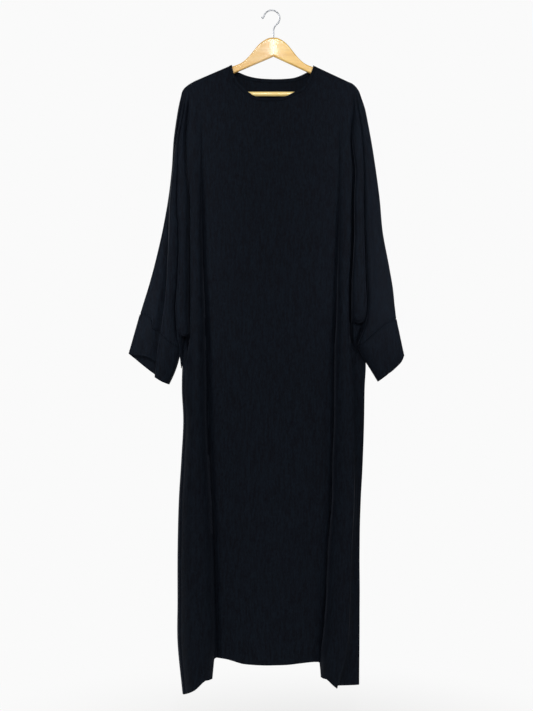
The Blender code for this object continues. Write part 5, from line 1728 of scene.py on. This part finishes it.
class ABAYA_OT_arms(bpy.types.Operator):
    """The two curved wooden arms of the hanger"""
    bl_idname = "abaya.arms"
    bl_label = "Hanger arms"

    def execute(self, context):
        rough = context.scene.abaya_hanger.shine
        stem = (*(Vector((HANGER_X, 0, z)) for z in STEM_HOLE_ENDS), STEM_HOLE, "Z")
        # The same maple on both arms: the left arm's paler colours are painted light from the key light's
        # sheen on its side, the right arm's deeper colours are painted shade
        for side, name, pale, deep in (("left", "varnished maple", "#EFC887", "#E9B968"),
                                       ("right", "varnished maple, painted shade", "#F2CA74", "#EAB95C")):
            made = wood_material(name, pale, deep, "#CF9444", rough)
            ends = sorted(along_arm(place, side) for place in SOCKET_PLACES)
            socket = (*(Vector((x, sweep(BAR_DEPTH_AT), BAR_Z)) for x in ends), SOCKET_WIDE, "X")
            sawn = arm_mesh("arm_%s_rough" % side, side)
            hung(drilled(sawn, "arm_%s_wood" % side, [stem, socket], made), "hanger_arm_" + side)
        return {"FINISHED"}


class ABAYA_OT_bar(bpy.types.Operator):
    """The round wooden cross bar"""
    bl_idname = "abaya.bar"
    bl_label = "Cross bar"

    def execute(self, context):
        tip_l, end_l = (along_arm(place, "left") for place in BAR_PLACES)
        tip_r, end_r = (along_arm(place, "right") for place in BAR_PLACES)
        thin, full = BAR_SPIGOT / 2, BAR_DIAMETER / 2
        round_l, round_r = end_l + BAR_EDGE, end_r - BAR_EDGE
        stations = [(tip_l, thin - BAR_SPIGOT_EDGE), (tip_l + BAR_SPIGOT_EDGE, thin), (end_l, thin),
                    (end_l, full - BAR_EDGE)]
        stations += [(mix(round_l, round_r, k / BAR_STEPS), full) for k in range(BAR_STEPS + 1)]
        stations += [(end_r, full - BAR_EDGE), (end_r, thin), (tip_r - BAR_SPIGOT_EDGE, thin),
                     (tip_r, thin - BAR_SPIGOT_EDGE)]
        rings = [(Vector((x, sweep(BAR_DEPTH_AT), BAR_Z)), radius) for x, radius in stations]
        # The bar's paler colours are painted light: the same maple made paler to stand in for the light and
        # highlight that fall on it
        made = wood_material("varnished maple, painted light", "#FFE9A6", "#FBD983", "#E0B262", BAR_ROUGHNESS)
        hung(baked(turned_mesh("bar_rough", rings, "X"), "bar_wood", made), "hanger_bar")
        return {"FINISHED"}


class ABAYA_OT_hook(bpy.types.Operator):
    """The bent wire hook"""
    bl_idname = "abaya.hook"
    bl_label = "Hook"

    def execute(self, context):
        points = hook_path()
        data = bpy.data.curves.new("hook_line", "CURVE")
        data.dimensions = "3D"
        data.bevel_depth = WIRE_DIAMETER * MM / 2
        data.bevel_resolution = context.scene.abaya_hanger.segments
        data.use_fill_caps = True
        spline = data.splines.new("POLY")
        spline.points.add(len(points) - 1)
        for point, place in zip(spline.points, points):
            point.co = (*(place * MM), 1.0)
        # The free end is ground round
        for point, radius in zip(spline.points, (0.3, 0.72, 0.92)):
            point.radius = radius
        hung(baked(add_object("hook_line", data), "hook_wire", chrome_material()), "hanger_hook")
        return {"FINISHED"}


class ABAYA_OT_stage(bpy.types.Operator):
    """Pale floor, soft light and the camera"""
    bl_idname = "abaya.stage"
    bl_label = "Stage"

    def execute(self, context):
        scene = context.scene
        settings = scene.abaya_stage
        surroundings = tuple(settings.surroundings)
        scene.world = room_world(surroundings)
        scene.view_settings.view_transform = "Standard"
        scene.view_settings.look = "None"

        turns = [2 * math.pi * k / FLOOR_SIDES for k in range(FLOOR_SIDES)]
        ring = [(FLOOR_RADIUS * math.cos(turn), FLOOR_RADIUS * math.sin(turn), settings.floor)
                for turn in turns]
        floor = add_mesh("floor", ring, faces=[list(range(FLOOR_SIDES))])
        floor.data.materials.append(floor_material(linear("#F2F2F0"), surroundings))

        for name, place, width, height, share in LIGHTS:
            data = bpy.data.lights.new(name, "AREA")
            data.shape = "RECTANGLE"
            data.size = width
            data.size_y = height
            data.energy = settings.key * share
            aim = Vector(LIGHTS_AIM)
            if "strip" in name:
                aim = Vector((STRIP_AIM * place[0], 0.0, place[2]))
                data.spread = math.radians(STRIP_SPREAD)
            light = add_object(name, data)
            light.location = place
            light.rotation_euler = (aim - Vector(place)).to_track_quat("-Z", "Y").to_euler()

        data = bpy.data.cameras.new("camera")
        data.sensor_fit = "VERTICAL"
        data.sensor_height = 36.0
        data.lens = settings.lens
        camera = add_object("camera", data)
        camera.location = (CAMERA_X, -settings.distance, CAMERA_Z)
        camera.rotation_euler = (math.radians(90), 0.0, 0.0)
        scene.camera = camera
        return {"FINISHED"}


class ABAYA_PT_sidebar(bpy.types.Panel):
    """The abaya's pieces and sizes"""
    bl_idname = "ABAYA_PT_sidebar"
    bl_label = "Abaya"
    bl_space_type = "VIEW_3D"
    bl_region_type = "UI"
    bl_category = "Abaya"

    def draw(self, context):
        column = self.layout.column()
        for group in SETTINGS:
            values = getattr(context.scene, group)
            for name in values.bl_rna.properties.keys():
                if name not in ("rna_type", "name"):
                    column.prop(values, name)
        for operator in OPERATORS:
            column.operator(operator.bl_idname)


SETTINGS = {
    "abaya_cloth": AbayaClothSettings,
    "abaya_stitching": AbayaStitchSettings,
    "abaya_hanger": AbayaHangerSettings,
    "abaya_stage": AbayaStageSettings,
}

OPERATORS = (
    ABAYA_OT_front,
    ABAYA_OT_back,
    ABAYA_OT_cuffs,
    ABAYA_OT_binding,
    ABAYA_OT_stitching,
    ABAYA_OT_declare,
    ABAYA_OT_arms,
    ABAYA_OT_bar,
    ABAYA_OT_hook,
    ABAYA_OT_stage,
)


def register():
    for group, made in SETTINGS.items():
        bpy.utils.register_class(made)
        setattr(bpy.types.Scene, group, PointerProperty(type=made))
    for made in OPERATORS + (ABAYA_PT_sidebar,):
        bpy.utils.register_class(made)


def unregister():
    for made in (ABAYA_PT_sidebar,) + OPERATORS[::-1]:
        bpy.utils.unregister_class(made)
    for group, made in SETTINGS.items():
        delattr(bpy.types.Scene, group)
        bpy.utils.unregister_class(made)


def main():
    register()
    for name in ("front", "back", "cuffs", "binding", "stitching", "declare", "arms", "bar", "hook", "stage"):
        getattr(bpy.ops.abaya, name)()


if __name__ == "__main__":
    main()
